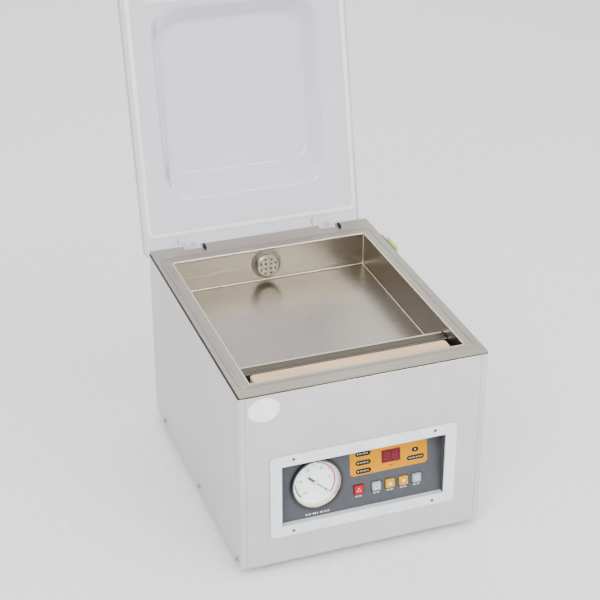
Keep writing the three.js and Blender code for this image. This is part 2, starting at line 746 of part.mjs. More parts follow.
/** Lift cylinder: a flanged body on the trough's floor, bored for the bar's pin. */
function liftCylinder(side) {
  const bore = LIFT_PIN / 2 + LIFT_CLEARANCE;
  const radius = LIFT_BODY / 2;
  const profile = [
    [0, 6],
    [bore, 6],
    [bore, LIFT_BODY_HEIGHT],
    [radius - 5, LIFT_BODY_HEIGHT],
    [radius - 4, LIFT_BODY_HEIGHT - 6],
    [radius - 2, LIFT_BODY_HEIGHT - 7],
    [radius - 2, 4],
    [radius, 4],
    [radius, GAP],
    [0, GAP],
  ];
  return turned("z", [(side * LIFT_SPACING) / 2, BAR_Y, CHAMBER_FLOOR], profile, 16);
}

// ------------------------------------------------------------------ lid
// Everything in this group is drawn about the hinge pin with the lid closed.
const lidGroup = new THREE.Group();
lidGroup.position.set(0, BACK, HINGE_Z);
lidGroup.rotation.x = THREE.MathUtils.degToRad(-LID_OPEN_DEG);

/** A stack of rounded rectangles joined into one closed surface, for the dome's two faces. */
function loft(rings, corner = 5) {
  const side = 4 * (corner + 1);
  const vertices = [];
  for (const { width, depth, radius, y, z } of rings) {
    const shape = roundedRect(width, depth, radius, 0, y);
    const arcs = shape.curves.filter((curve) => curve.isEllipseCurve);
    for (const arc of arcs) {
      for (const point of arc.getPoints(corner)) vertices.push(point.x, point.y, z);
    }
  }
  const low = vertices.length / 3;
  vertices.push(0, rings[0].y, rings[0].z, 0, rings.at(-1).y, rings.at(-1).z);
  const faces = [];
  for (let i = 0; i < side; i += 1) {
    const next = (i + 1) % side;
    faces.push(low, next, i);
    const top = (rings.length - 1) * side;
    faces.push(low + 1, top + i, top + next);
    for (let k = 0; k < rings.length - 1; k += 1) {
      const [a, b] = [k * side + i, k * side + next];
      faces.push(a, b, b + side, a, b + side, a + side);
    }
  }
  const geometry = new THREE.BufferGeometry();
  geometry.setAttribute("position", new THREE.Float32BufferAttribute(vertices, 3));
  geometry.setIndex(faces);
  return solid(geometry);
}

/** One face of the dome: it leaves the lid in a soft curve, rises at a slope and flattens out. */
function domeFace(grow, height) {
  const steps = 7;
  const middle = -(DOME_BACK + DOME_LENGTH / 2);
  const rings = [{ level: -2, share: 0 }];
  for (let i = 0; i <= steps; i += 1) {
    const t = i / steps;
    rings.push({ level: height * THREE.MathUtils.smootherstep(t, 0, 1), share: t });
  }
  return loft(
    rings.map(({ level, share }) => ({
      width: DOME_WIDTH + 2 * grow - 2 * DOME_TAPER_SIDE * share,
      depth: DOME_LENGTH + 2 * grow - 2 * DOME_TAPER_END * share,
      radius: DOME_RADIUS,
      y: middle,
      z: LID_FACE + level,
    })),
  );
}

/** Clear lid: a thick flange with a hollow dome, drilled for the hinge bolts. */
function lid() {
  const width = BODY_WIDTH - 2 * LID_INSET;
  const plan = roundedRect(width, BODY_DEPTH, LID_RADIUS, 0, -BODY_DEPTH / 2);
  let body = prism("z", plan, LID_FACE, LID_FACE + LID_THICKNESS, [0, 0, 0], 4);
  body = body.add(domeFace(DOME_WALL / 2, DOME_HEIGHT + DOME_WALL));
  const below = block([LEFT, RIGHT], [-BODY_DEPTH, 0], [LID_FACE - 5, LID_FACE]);
  body = body.subtract(below).subtract(domeFace(0, DOME_HEIGHT));
  for (const [x, y] of boltPlaces()) {
    body = body.subtract(bar("z", [x, y, LID_FACE - 1], BOLT / 2 + GAP, LID_THICKNESS + 2, 12));
  }
  return body;
}

function boltPlaces() {
  const y = -HINGE_FOOT + 10;
  return [-1, 1].flatMap((side) =>
    [-1, 1].map((end) => [(side * HINGE_SPACING + end * BOLT_SPACING) / 2, y]),
  );
}

/** Gasket stuck to the lid: it follows the ridge on the rim. */
function lidGasket() {
  const [width, depth, middle] = sealPath();
  const shape = rectRing(width, depth, BEAD_RADIUS, GASKET_WIDTH, 0, middle - BACK);
  const low = HINGE_DROP + BEAD_HEIGHT + GAP;
  return prism("z", shape, low, LID_FACE - GAP, [0, 0, 0], 4);
}

const PAD_Y = BAR_Y - BACK;

/** Channel under the lid that carries the pad opposite the seal bar. */
function padChannel() {
  const half = PAD_CHANNEL_WIDTH / 2;
  const [top, bottom] = [LID_FACE - GAP, LID_FACE - GAP - PAD_CHANNEL_HEIGHT];
  const x = BAR_LENGTH / 2 + 1;
  const outer = block([-x, x], [PAD_Y - half, PAD_Y + half], [bottom, top]);
  const inner = half - PAD_CHANNEL_WALL;
  const groove = [bottom - 1, top - PAD_CHANNEL_WALL];
  return outer.subtract(block([-x - 1, x + 1], [PAD_Y - inner, PAD_Y + inner], groove));
}

/** Silicone pad: its crowned face meets the raised seal bar. */
function counterPad() {
  const top = LID_FACE - GAP - PAD_CHANNEL_WALL - GAP;
  const half = PAD_WIDTH / 2;
  const shape = new THREE.Shape();
  shape.moveTo(PAD_Y + half, top);
  shape.lineTo(PAD_Y - half, top);
  shape.lineTo(PAD_Y - half, top - PAD_HEIGHT + 0.6);
  shape.quadraticCurveTo(PAD_Y, top - PAD_HEIGHT - 0.6, PAD_Y + half, top - PAD_HEIGHT + 0.6);
  const x = BAR_LENGTH / 2 - 1;
  return prism("x", shape, -x, x, [0, 0, 0], 6);
}

/** Hinge arm: a round eye, a cranked leg whose heel stops the open lid, and a foot. */
function hingeArm(side) {
  const foot = LID_FACE - GAP;
  const under = foot - HINGE_FOOT_THICKNESS;
  const shape = new THREE.Shape();
  shape.absarc(0, 0, HINGE_EYE, Math.PI, 2 * Math.PI);
  shape.lineTo(HINGE_EYE, foot - 3);
  shape.quadraticCurveTo(HINGE_EYE, foot, HINGE_EYE - 3, foot);
  shape.lineTo(-HINGE_FOOT, foot);
  shape.lineTo(-HINGE_FOOT, under);
  shape.lineTo(-8, under);
  shape.quadraticCurveTo(-5, under, -5, under - 3);
  shape.lineTo(-HINGE_EYE, 4);
  shape.closePath();
  const hole = new THREE.Path();
  hole.absarc(0, 0, HINGE_PIN / 2 + HINGE_CLEARANCE, 0, 2 * Math.PI);
  shape.holes.push(hole);
  const x = (side * HINGE_SPACING) / 2;
  const half = HINGE_ARM_WIDTH / 2;
  let arm = prism("x", shape, x - half, x + half, [0, 0, 0], 8);
  for (const [bx, by] of boltPlaces()) {
    arm = arm.subtract(bar("z", [bx, by, under - 1], BOLT / 2 + GAP, 6, 12));
  }
  return arm;
}

/** Hinge bolt: a domed head on the lid's outer face and a shank down into the arm. */
function hingeBolt([x, y]) {
  const shank = BOLT / 2;
  const length = LID_THICKNESS + GAP + HINGE_FOOT_THICKNESS - 0.4;
  const profile = [
    [0, -length],
    [shank, -length],
    [shank, GAP],
    [BOLT_HEAD, GAP],
    [BOLT_HEAD, 1.4],
    [BOLT_HEAD - 1.4, 2.6],
    [1.6, 2.9],
    [1.6, 1.6],
    [0, 1.6],
  ];
  return turned("z", [x, y, LID_FACE + LID_THICKNESS], profile, 12);
}

/** Hinge bracket: two ears beside the arm, joined by a web under the rim. */
function hingeBracket(side) {
  const x = (side * HINGE_SPACING) / 2;
  const inner = HINGE_ARM_WIDTH / 2 + HINGE_SIDE_GAP;
  const outer = inner + HINGE_EAR;
  const radius = HINGE_EYE - 0.6;
  const top = HINGE_DROP - RIM_THICKNESS - GAP;
  const web = -TOP_FOLD - 6;
  const ear = new THREE.Shape();
  ear.absarc(0, 0, radius, -Math.PI / 2, Math.PI / 2);
  ear.lineTo(-8, top);
  ear.lineTo(web, top);
  ear.lineTo(web, -radius);
  ear.closePath();
  const hole = new THREE.Path();
  hole.absarc(0, 0, HINGE_PIN / 2 + GAP, 0, 2 * Math.PI);
  ear.holes.push(hole);
  const at = [0, BACK, HINGE_Z];
  let bracket = prism("x", ear, x - outer, x - inner, at, 5);
  bracket = bracket.add(prism("x", ear, x + inner, x + outer, at, 5));
  const plate = [BACK + web, BACK + web + HINGE_EAR];
  return bracket.add(block([x - outer, x + outer], plate, [HINGE_Z - radius, HINGE_Z + top]));
}

function hingePin(side) {
  const half = HINGE_ARM_WIDTH / 2 + HINGE_SIDE_GAP + HINGE_EAR + 0.8;
  const at = [(side * HINGE_SPACING) / 2 - half, BACK, HINGE_Z];
  return bar("x", at, HINGE_PIN / 2, 2 * half, 24);
}

// ------------------------------------------------------------------ control panel
/** Flat bezel: a frame with a sharp window and four countersunk holes. */
function bezel() {
  const frame = roundedRect(BEZEL_WIDTH, BEZEL_HEIGHT, BEZEL_RADIUS);
  frame.holes.push(cornered(WINDOW_WIDTH, WINDOW_HEIGHT));
  const at = [0, 0, BASE + BEZEL_CENTRE];
  const upright = new THREE.ExtrudeGeometry(frame, {
    depth: BEZEL_PROUD - GAP,
    bevelEnabled: false,
    curveSegments: 4,
  });
  upright.rotateX(Math.PI / 2);
  upright.translate(at[0], FRONT - GAP, at[2]);
  let plate = solid(upright);
  plate = plate.add(windowLedge());
  for (const [x, z] of bezelScrewPlaces()) {
    plate = plate.subtract(bar("y", [x, FRONT - BEZEL_PROUD - 1, z], BEZEL_SCREW / 2 + GAP, 5, 8));
  }
  return plate;
}

/** Sill of the bezel's window: it runs back to the foot of the tilted panel. */
function windowLedge() {
  const low = BASE + BEZEL_CENTRE - WINDOW_HEIGHT / 2;
  const back = panelFront(low) - GAP;
  const x = WINDOW_WIDTH / 2 - GAP;
  return block([-x, x], [FRONT - BEZEL_PROUD, back], [low - 1.6, low]);
}

/** Where the panel's face is at a height, from front to back. */
function panelFront(z) {
  const tilt = Math.tan(THREE.MathUtils.degToRad(PANEL_TILT_DEG));
  return FRONT + PANEL_SET_BACK + (z - BASE - BEZEL_CENTRE) * tilt;
}

function bezelScrewPlaces() {
  const z = BASE + BEZEL_CENTRE;
  return [-1, 1].flatMap((side) =>
    [-1, 1].map((end) => [side * BEZEL_SCREW_X, z + end * BEZEL_SCREW_Z]),
  );
}

// The pieces of this group lie on the tilted panel: X right, Y up the panel, Z out of it.
const panelGroup = new THREE.Group();
panelGroup.position.set(0, FRONT + PANEL_SET_BACK, BASE + BEZEL_CENTRE);
panelGroup.rotation.x = THREE.MathUtils.degToRad(90 - PANEL_TILT_DEG);

/** Panel plate with openings for the gauge, the display and the buttons, and a cheek each side. */
function controlPanel() {
  const tilt = THREE.MathUtils.degToRad(PANEL_TILT_DEG);
  const half = WINDOW_HEIGHT / 2 / Math.cos(tilt) + 1;
  const x = WINDOW_WIDTH / 2;
  let plate = block([-x - PANEL_CHEEK, x + PANEL_CHEEK], [-half, half], [-PANEL_PLATE, 0]);
  const reach = (y) => (PANEL_SET_BACK + y * Math.sin(tilt) - GAP) / Math.cos(tilt);
  const low = -half + 2;
  const cheek = new THREE.Shape([
    new THREE.Vector2(low, -PANEL_PLATE / 2),
    new THREE.Vector2(half, -PANEL_PLATE / 2),
    new THREE.Vector2(half, reach(half)),
    new THREE.Vector2(low, reach(low)),
  ]);
  for (const from of [-x - PANEL_CHEEK, x]) {
    plate = plate.add(prism("x", cheek, from, from + PANEL_CHEEK));
  }
  const gauge = [GAUGE_X, GAUGE_Y, -PANEL_PLATE - 1];
  plate = plate.subtract(bar("z", gauge, gaugeBody() + GAP, PANEL_PLATE + 2, 28));
  plate = plate.subtract(opening(DISPLAY.x, DISPLAY.y, DISPLAY.width, DISPLAY.height, GAP));
  for (const place of Object.values(BUTTONS)) {
    const cut = opening(place, BUTTON_ROW, BUTTON_SIZE, BUTTON_SIZE, BUTTON_CLEARANCE);
    plate = plate.subtract(cut);
  }
  return plate;
}

function opening(x, y, width, height, clearance) {
  const shape = roundedRect(width + 2 * clearance, height + 2 * clearance, 1.2, x, y);
  return prism("z", shape, -PANEL_PLATE - 1, 1, [0, 0, 0], 1);
}

/** Button: a square cap with a soft edge, and a flange behind the panel that keeps it in. */
function button(x) {
  const edge = 0.6;
  const low = -PANEL_PLATE - GAP - BUTTON_FLANGE;
  const size = BUTTON_SIZE - 2 * edge;
  const cap = new THREE.ExtrudeGeometry(roundedRect(size, size, 0.8), {
    depth: BUTTON_PROUD - low - 2 * edge,
    bevelThickness: edge,
    bevelSize: edge,
    bevelSegments: 1,
    curveSegments: 1,
  });
  cap.translate(x, BUTTON_ROW, low + edge);
  const half = BUTTON_SIZE / 2 + 1.2;
  const flange = [-PANEL_PLATE - GAP - BUTTON_FLANGE, -PANEL_PLATE - GAP];
  const square = block([x - half, x + half], [BUTTON_ROW - half, BUTTON_ROW + half], flange);
  return solid(cap).add(square);
}

function displayLens() {
  const shape = roundedRect(DISPLAY.width, DISPLAY.height, 1, DISPLAY.x, DISPLAY.y);
  return prism("z", shape, -PANEL_PLATE, 0.6, [0, 0, 0], 3);
}

function gaugeBody() {
  return GAUGE_RADIUS - GAUGE_RING + GAUGE_WALL;
}

const DIAL_BACK = -DIAL_SET_BACK - DIAL_THICKNESS - GAP;

/** Gauge case: a ring on the panel, a deep cup behind it and the pressure stub. */
function gaugeCase() {
  const inner = GAUGE_RADIUS - GAUGE_RING;
  const outer = gaugeBody();
  const profile = [
    [0, DIAL_BACK - 6],
    [inner, DIAL_BACK - 6],
    [inner, GAUGE_RING_PROUD - 1.2],
    [inner + 0.8, GAUGE_RING_PROUD],
    [GAUGE_RADIUS - 1, GAUGE_RING_PROUD],
    [GAUGE_RADIUS, GAUGE_RING_PROUD - 1.4],
    [GAUGE_RADIUS, GAP],
    [outer, GAP],
    [outer, -GAUGE_DEPTH + 2],
    [outer - 2, -GAUGE_DEPTH],
    [6, -GAUGE_DEPTH],
    [5, -GAUGE_DEPTH - GAUGE_STUB],
    [0, -GAUGE_DEPTH - GAUGE_STUB],
  ];
  return turned("z", [GAUGE_X, GAUGE_Y, 0], profile, 28);
}

function gaugeDial() {
  const inner = GAUGE_RADIUS - GAUGE_RING - GAP;
  const disc = bar("z", [GAUGE_X, GAUGE_Y, DIAL_BACK + GAP], inner, DIAL_THICKNESS, 28);
  return disc.subtract(bar("z", [GAUGE_X, GAUGE_Y, DIAL_BACK - 1], 2, 4, 16));
}

/** Pointer: a tapered arm, a counterweight tail, a hub and its arbor through the dial. */
function gaugeNeedle() {
  const low = -DIAL_SET_BACK + 1.2;
  const shape = new THREE.Shape();
  shape.moveTo(-NEEDLE_TAIL, -1.5);
  shape.lineTo(-2, -1.3);
  shape.lineTo(NEEDLE_LENGTH, -0.35);
  shape.lineTo(NEEDLE_LENGTH, 0.35);
  shape.lineTo(-2, 1.3);
  shape.lineTo(-NEEDLE_TAIL, 1.5);
  let pointer = prism("z", shape, low, low + 0.6);
  pointer = pointer.rotate([0, 0, NEEDLE_REST_DEG]);
  const arbor = [
    [0, DIAL_BACK - 4],
    [1.4, DIAL_BACK - 4],
    [1.4, low],
    [2.6, low],
    [2.6, low + 1.4],
    [1.8, low + 2.2],
    [0, low + 2.2],
  ];
  const hub = turned("z", [0, 0, 0], arbor, 14);
  return pointer.add(hub).translate([GAUGE_X, GAUGE_Y, 0]);
}

function gaugeGlass() {
  const top = GAUGE_RING_PROUD - 2;
  const inner = GAUGE_RADIUS - GAUGE_RING - GAP;
  return bar("z", [GAUGE_X, GAUGE_Y, top - GLASS], inner, GLASS, 28);
}

/** Control board behind the buttons, with its relay, transformer and switch blocks. */
function controlBoard() {
  const back = -PANEL_PLATE - BOARD_SET_BACK;
  const switchTop = -PANEL_PLATE - 2 * GAP - BUTTON_FLANGE - BUTTON_TRAVEL;
  let board = block([-18, 106], [-38, 38], [back - 1.6, back]);
  const row = [BUTTON_ROW - 3, BUTTON_ROW + 3];
  for (const place of Object.values(BUTTONS)) {
    board = board.add(block([place - 3, place + 3], row, [back - 0.5, switchTop]));
  }
  const across = [DISPLAY.x - DISPLAY.width / 2 + 1, DISPLAY.x + DISPLAY.width / 2 - 1];
  const up = [DISPLAY.y - DISPLAY.height / 2 + 1, DISPLAY.y + DISPLAY.height / 2 - 1];
  board = board.add(block(across, up, [back - 0.5, back + 9]));
  const relays = 3;
  for (let i = 0; i < relays; i += 1) {
    const x = BUTTONS.enter - 11 + i * 13;
    board = board.add(block([x, x + 10], [8, 30], [back - 12, back - 1]));
  }
  return board;
}

// ------------------------------------------------------------------ power switch
const SWITCH_Y = BACK - SWITCH_FROM_BACK;
const SWITCH_Z = RIM_TOP - SWITCH_FROM_RIM - SWITCH_HEIGHT / 2;

function switchCutout() {
  const y = SWITCH_LENGTH / 2 - 3;
  const z = SWITCH_HEIGHT / 2 - 2;
  return block([RIGHT - 3, RIGHT + 1], [SWITCH_Y - y, SWITCH_Y + y], [SWITCH_Z - z, SWITCH_Z + z]);
}

/** Switch frame: a bevelled flange on the side panel and an open-fronted body behind it. */
function switchFrame() {
  const flange = new THREE.ExtrudeGeometry(roundedRect(SWITCH_LENGTH - 2, SWITCH_HEIGHT - 2, 2), {
    depth: SWITCH_FRAME_PROUD - GAP - 1,
    bevelThickness: 1,
    bevelSize: 1,
    bevelSegments: 1,
    curveSegments: 3,
  });
  const seat = block([-100, 100], [-100, 100], [0, 100]);
  let frame = solid(flange).intersect(seat);
  const half = [SWITCH_LENGTH / 2 - 3 - GAP, SWITCH_HEIGHT / 2 - 2 - GAP];
  frame = frame.add(block([-half[0], half[0]], [-half[1], half[1]], [-SWITCH_BODY_DEPTH, 0.5]));
  const well = [ROCKER_LENGTH / 2 + GAP * 2, ROCKER_HEIGHT / 2 + GAP * 2];
  frame = frame.subtract(block([-well[0], well[0]], [-well[1], well[1]], [-9, 10]));
  return frame.transform(switchFrameMatrix());
}

/** X along the machine, Y up and Z out of the right side, as a matrix in column order. */
function switchFrameMatrix() {
  const place = new THREE.Matrix4().makeBasis(
    new THREE.Vector3(0, 1, 0),
    new THREE.Vector3(0, 0, 1),
    new THREE.Vector3(1, 0, 0),
  );
  place.setPosition(RIGHT + GAP, SWITCH_Y, SWITCH_Z);
  return place.elements;
}

/** Rocker: a shallow V across its pivot, drawn with the end nearer the front pressed in. */
function rocker() {
  const half = ROCKER_LENGTH / 2;
  const rise = half * Math.tan(THREE.MathUtils.degToRad(ROCKER_THROW_DEG / 2));
  const face = SWITCH_FRAME_PROUD + 0.4;
  const shape = new THREE.Shape();
  shape.moveTo(-half, face + rise);
  shape.lineTo(0, face);
  shape.lineTo(half, face + rise);
  shape.lineTo(half - 1.5, -1);
  shape.lineTo(4, -4);
  shape.lineTo(-4, -4);
  shape.lineTo(-half + 1.5, -1);
  shape.closePath();
  return shape;
}

function rockerBody() {
  const shape = rocker();
  const geometry = new THREE.ExtrudeGeometry(shape, { depth: ROCKER_HEIGHT, bevelEnabled: false });
  geometry.translate(0, 0, -ROCKER_HEIGHT / 2);
  // The section's X runs along the machine's depth, and its Y out of the side.
  const basis = new THREE.Matrix4().makeBasis(
    new THREE.Vector3(0, 1, 0),
    new THREE.Vector3(1, 0, 0),
    new THREE.Vector3(0, 0, -1),
  );
  geometry.applyMatrix4(basis);
  const body = solid(geometry);
  return body.rotate([0, 0, -ROCKER_THROW_DEG / 2]).translate([RIGHT + GAP, SWITCH_Y, SWITCH_Z]);
}

// ------------------------------------------------------------------ rear fittings
function inletOpening() {
  const x = INLET_WIDTH / 2 + 1.5;
  const z = INLET_HEIGHT / 2 + 1.5;
  const at = BASE + INLET_Z;
  return block([INLET_X - x, INLET_X + x], [BACK - 3, BACK + 1], [at - z, at + z]);
}

/** Mains inlet: a flange, a hollow socket that opens to the back, and three flat pins. */
function powerInlet() {
  const z = BASE + INLET_Z;
  const wall = 1.2;
  const [x, h] = [INLET_WIDTH / 2, INLET_HEIGHT / 2];
  const y = BACK + GAP;
  const about = (halfWidth, halfHeight, depth) =>
    block([INLET_X - halfWidth, INLET_X + halfWidth], depth, [z - halfHeight, z + halfHeight]);
  let inlet = about(INLET_FLANGE / 2, h + 2, [y, y + 2.2]);
  inlet = inlet.add(about(x + wall, h + wall, [y - INLET_DEPTH - 5, y + 1]));
  inlet = inlet.subtract(about(x, h, [y - INLET_DEPTH, y + 3]));
  const pins = [
    [-7, -2],
    [0, 3],
    [7, -2],
  ];
  for (const [px, pz] of pins) {
    const across = [INLET_X + px - 1, INLET_X + px + 1];
    inlet = inlet.add(block(across, [y - INLET_DEPTH - 1, y - 2], [z + pz - 2, z + pz + 2]));
  }
  for (const side of [-1, 1]) {
    const hole = [INLET_X + side * (x + wall + 5.2), y - 1, z];
    inlet = inlet.subtract(bar("y", hole, 1.8, 5, 10));
  }
  return inlet;
}

/** Fuse holder: a knurled cap behind the panel's nut flange. */
function fuseHolder() {
  const profile = [
    [0, -24],
    [5.8, -24],
    [5.8, GAP],
    [9, GAP],
    [9, 2.4],
    [6.6, 2.8],
    [6.2, 9],
    [5.4, 10],
    [0, 10],
  ];
  const cap = turned("y", [FUSE_X, BACK, BASE + INLET_Z], profile, 16);
  const across = [BASE + INLET_Z - 0.7, BASE + INLET_Z + 0.7];
  return cap.subtract(block([FUSE_X - 4, FUSE_X + 4], [BACK + 9, BACK + 11], across));
}

// ------------------------------------------------------------------ pump set
/** Pump: an oil case with a sloped cover, ribs along its sides, a filler plug and two feet. */
function pumpBody() {
  const half = PUMP_WIDTH / 2;
  const [low, high] = [PUMP_FLOOR, PUMP_FLOOR + PUMP_HEIGHT];
  const front = new THREE.Shape();
  front.moveTo(-half, low + 12);
  front.lineTo(half, low + 12);
  front.lineTo(half, high - 26);
  front.quadraticCurveTo(half, high, half - 26, high);
  front.lineTo(-half + 26, high);
  front.quadraticCurveTo(-half, high, -half, high - 26);
  front.closePath();
  const across = (shape, y0, y1) => {
    const geometry = new THREE.ExtrudeGeometry(shape, {
      depth: y1 - y0,
      bevelEnabled: false,
      curveSegments: 4,
    });
    geometry.rotateX(Math.PI / 2);
    geometry.translate(PUMP_X, y1, 0);
    return solid(geometry);
  };
  let pump = across(front, PUMP_FRONT, PUMP_BACK);
  for (let i = 0; i < 6; i += 1) {
    const z = low + 26 + i * 14;
    const rib = [PUMP_X - half - 3, PUMP_X + half + 3];
    pump = pump.add(block(rib, [PUMP_FRONT + 8, PUMP_BACK - 34], [z, z + 4]));
  }
  for (const x of [-half + 4, half - 24]) {
    const rail = [PUMP_X + x, PUMP_X + x + 20];
    pump = pump.add(block(rail, [PUMP_FRONT + 6, PUMP_BACK - 6], [low, low + 14]));
  }
  const inlet = [PUMP_X + 30, PUMP_BACK - 22, high - 4];
  pump = pump.add(bar("z", inlet, PORT_BORE + 2, 12, 16));
  pump = pump.subtract(bar("z", [inlet[0], inlet[1], high - 12], PORT_BORE, 30, 16));
  pump = pump.add(bar("z", [PUMP_X - 30, PUMP_FRONT + 30, high - 2], 9, 8, 6));
  return pump.subtract(bar("y", [PUMP_X + 30, PUMP_FRONT - 1, low + 52], 11, 5, 24));
}

/** Oil sight glass in the front of the pump's oil case. */
function sightGlass() {
  const profile = [
    [0, -3.6],
    [10.6, -3.6],
    [10.6, 2],
    [9, 3.4],
    [7.4, 3.4],
    [7, 1.6],
    [0, 1.6],
  ];
  const eye = turned("z", [0, 0, 0], profile, 20);
  return eye.rotate([90, 0, 0]).translate([PUMP_X + 30, PUMP_FRONT, PUMP_FLOOR + 52]);
}

/** Motor: cooling fins all round a barrel, a terminal box, two feet and the fan's shaft. */
function pumpMotor() {
  const shape = new THREE.Shape();
  const root = MOTOR_RADIUS - MOTOR_FIN_DEPTH;
  const step = (2 * Math.PI) / MOTOR_FINS;
  const finSection = [
    [0, root],
    [0.55, root],
    [0.62, MOTOR_RADIUS],
    [0.93, MOTOR_RADIUS],
  ];
  for (let i = 0; i < MOTOR_FINS; i += 1) {
    for (const [part, radius] of finSection) {
      const angle = (i + part) * step;
      const point = [radius * Math.cos(angle), radius * Math.sin(angle)];
      if (i === 0 && part === 0) shape.moveTo(...point);
      else shape.lineTo(...point);
    }
  }
  shape.closePath();
  let motor = prism("y", shape, MOTOR_FRONT, MOTOR_BACK, [PUMP_X, 0, MOTOR_Z]);
  motor = motor.add(bar("y", [PUMP_X, MOTOR_FRONT, MOTOR_Z], MOTOR_RADIUS + 2, 12, 20));
  motor = motor.add(bar("y", [PUMP_X, MOTOR_BACK - 10, MOTOR_Z], MOTOR_RADIUS - 1, 10, 20));
  motor = motor.add(bar("y", [PUMP_X, MOTOR_BACK - 5, MOTOR_Z], SHAFT / 2, COWL_LENGTH - 10, 16));
  const box = [MOTOR_FRONT + TERMINAL_BOX_END, MOTOR_BACK - TERMINAL_BOX_END];
  motor = motor.add(block([PUMP_X - 70, PUMP_X - 30], box, [MOTOR_Z - 20, MOTOR_Z + 22]));
  const [sole, leg] = [44, 30]; // half widths of the feet and of the legs above them
  for (const y of [MOTOR_FRONT + 14, MOTOR_BACK - 14 - MOTOR_FOOT]) {
    const across = [y, y + MOTOR_FOOT];
    const plate = [PUMP_FLOOR, PUMP_FLOOR + 5];
    motor = motor.add(block([PUMP_X - sole, PUMP_X + sole], across, plate));
    motor = motor.add(block([PUMP_X - leg, PUMP_X + leg], across, [PUMP_FLOOR, MOTOR_Z - 30]));
  }
  return motor;
}

/** Cooling fan: flat blades set at a pitch round a hub that runs on the motor's shaft. */
function motorFan() {
  const length = FAN_CHORD + 4;
  const start = MOTOR_BACK + 4;
  let fan = bar("y", [PUMP_X, start, MOTOR_Z], SHAFT / 2 + 6, length, 16);
  const chord = FAN_CHORD / 2;
  const blade = block([6, FAN_RADIUS - 2], [-1, 1], [-chord, chord]).rotate([FAN_PITCH_DEG, 0, 0]);
  for (let i = 0; i < FAN_BLADES; i += 1) {
    const around = blade.rotate([90, 0, 0]).rotate([0, (i * 360) / FAN_BLADES, 0]);
    fan = fan.add(around.translate([PUMP_X, start + length / 2, MOTOR_Z]));
  }
  const bore = SHAFT / 2 + GAP;
  return fan.subtract(bar("y", [PUMP_X, start - 1, MOTOR_Z], bore, length + 2, 16));
}

/** Fan cowl: a spun cup over the fan, slotted at its end for the air. */
function fanCowl() {
  const radius = MOTOR_RADIUS + 1;
  const outer = radius + COWL_WALL;
  const start = MOTOR_BACK - COWL_LAP;
  const end = MOTOR_BACK + COWL_LENGTH;
  const profile = [
    [0, end - COWL_WALL],
    [radius - 6, end - COWL_WALL],
    [radius, end - 8],
    [radius, start],
    [outer, start],
    [outer, end - 7],
    [outer - 6, end],
    [0, end],
  ];
  let cowl = turned("y", [PUMP_X, 0, MOTOR_Z], profile, 24);
  const pitch = 11;
  const slot = 3.4; // half its height
  for (let i = -3; i <= 3; i += 1) {
    const half = Math.sqrt((radius - 8) ** 2 - (i * pitch) ** 2);
    const z = [MOTOR_Z + i * pitch - slot, MOTOR_Z + i * pitch + slot];
    cowl = cowl.subtract(block([PUMP_X - half, PUMP_X + half], [end - 4, end + 1], z));
  }
  return cowl;
}

/** Suction hose: from the chamber's port down behind the tub, under it and into the pump. */
function vacuumHose() {
  const start = new THREE.Vector3(PORT_X, CHAMBER_Y1 + PORT_STUB + GAP, PORT_Z);
  const inletTop = PUMP_FLOOR + PUMP_HEIGHT + 8 + GAP;
  const end = new THREE.Vector3(PUMP_X + 30, PUMP_BACK - 22, inletTop);
  const under = CHAMBER_FLOOR - CHAMBER_SHEET - HOSE / 2 - 8;
  const route = new THREE.CatmullRomCurve3([
    start,
    new THREE.Vector3(start.x, start.y + 5, start.z),
    new THREE.Vector3(start.x, start.y + 14, start.z - 9),
    new THREE.Vector3(start.x, start.y + 16, start.z - 25),
    new THREE.Vector3(start.x, start.y + 10, under + 12),
    new THREE.Vector3(start.x, start.y - 12, under),
    new THREE.Vector3(start.x, start.y - 60, under),
    new THREE.Vector3(end.x, end.y + 40, under),
    new THREE.Vector3(end.x, end.y + 16, under - 2),
    new THREE.Vector3(end.x, end.y + 1, end.z + 10),
    new THREE.Vector3(end.x, end.y, end.z + 4),
    end,
  ]);
  const section = new THREE.Shape();
  section.absarc(0, 0, HOSE / 2, 0, 2 * Math.PI);
  const hose = new THREE.ExtrudeGeometry(section, {
    extrudePath: route,
    steps: 24,
    curveSegments: 4,
  });
  return solid(hose);
}

/** Seal transformer: laminated core, two feet and the winding round its middle leg. */
function transformer() {
  const [x, y, z] = [96, 70, PUMP_FLOOR];
  let core = block([x - 38, x + 38], [y - 22, y + 22], [z + 2, z + 66]);
  core = core.add(block([x - 38, x + 38], [y - 34, y + 34], [z, z + 3]));
  const coil = roundedRect(46, 76, 12, x, y);
  return core.add(prism("z", coil, z + 16, z + 52, [0, 0, 0], 4));
}

/** Solenoid valve block that lets air back in and works the seal bar's lift. */
function valveBlock() {
  const [x, y, z] = [96, -40, PUMP_FLOOR];
  let valve = block([x - 26, x + 26], [y - 18, y + 18], [z, z + 26]);
  for (const dx of [-13, 13]) {
    valve = valve.add(block([x + dx - 10, x + dx + 10], [y - 12, y + 12], [z + 25, z + 56]));
    valve = valve.add(bar("z", [x + dx, y, z + 55], 5, 6, 12));
  }
  return valve.add(bar("y", [x, y - 30, z + 13], 5, 14, 12));
}

// ------------------------------------------------------------------ assembly
add(machine, "base_plate", basePlate(), zincSteel);
add(machine, "left_side_panel", sidePanel(-1), brushedSteel);
add(machine, "right_side_panel", sidePanel(1), brushedSteel);
add(machine, "front_panel", frontPanel(), brushedSteel);
add(machine, "rear_panel", rearPanel(), brushedSteel);
add(machine, "rim_plate", rimPlate(), brushedSteel);
add(machine, "chamber_tub", chamberTub(), chamberSteel);
add(machine, "product_tray", productTray(), chamberSteel);
add(machine, "vacuum_port_cover", portCover(), brushedSteel);

const corners = ["front_left", "front_right", "rear_left", "rear_right"];
footPlaces().forEach((place, i) => add(machine, `foot_${corners[i]}`, foot(place), blackRubber));

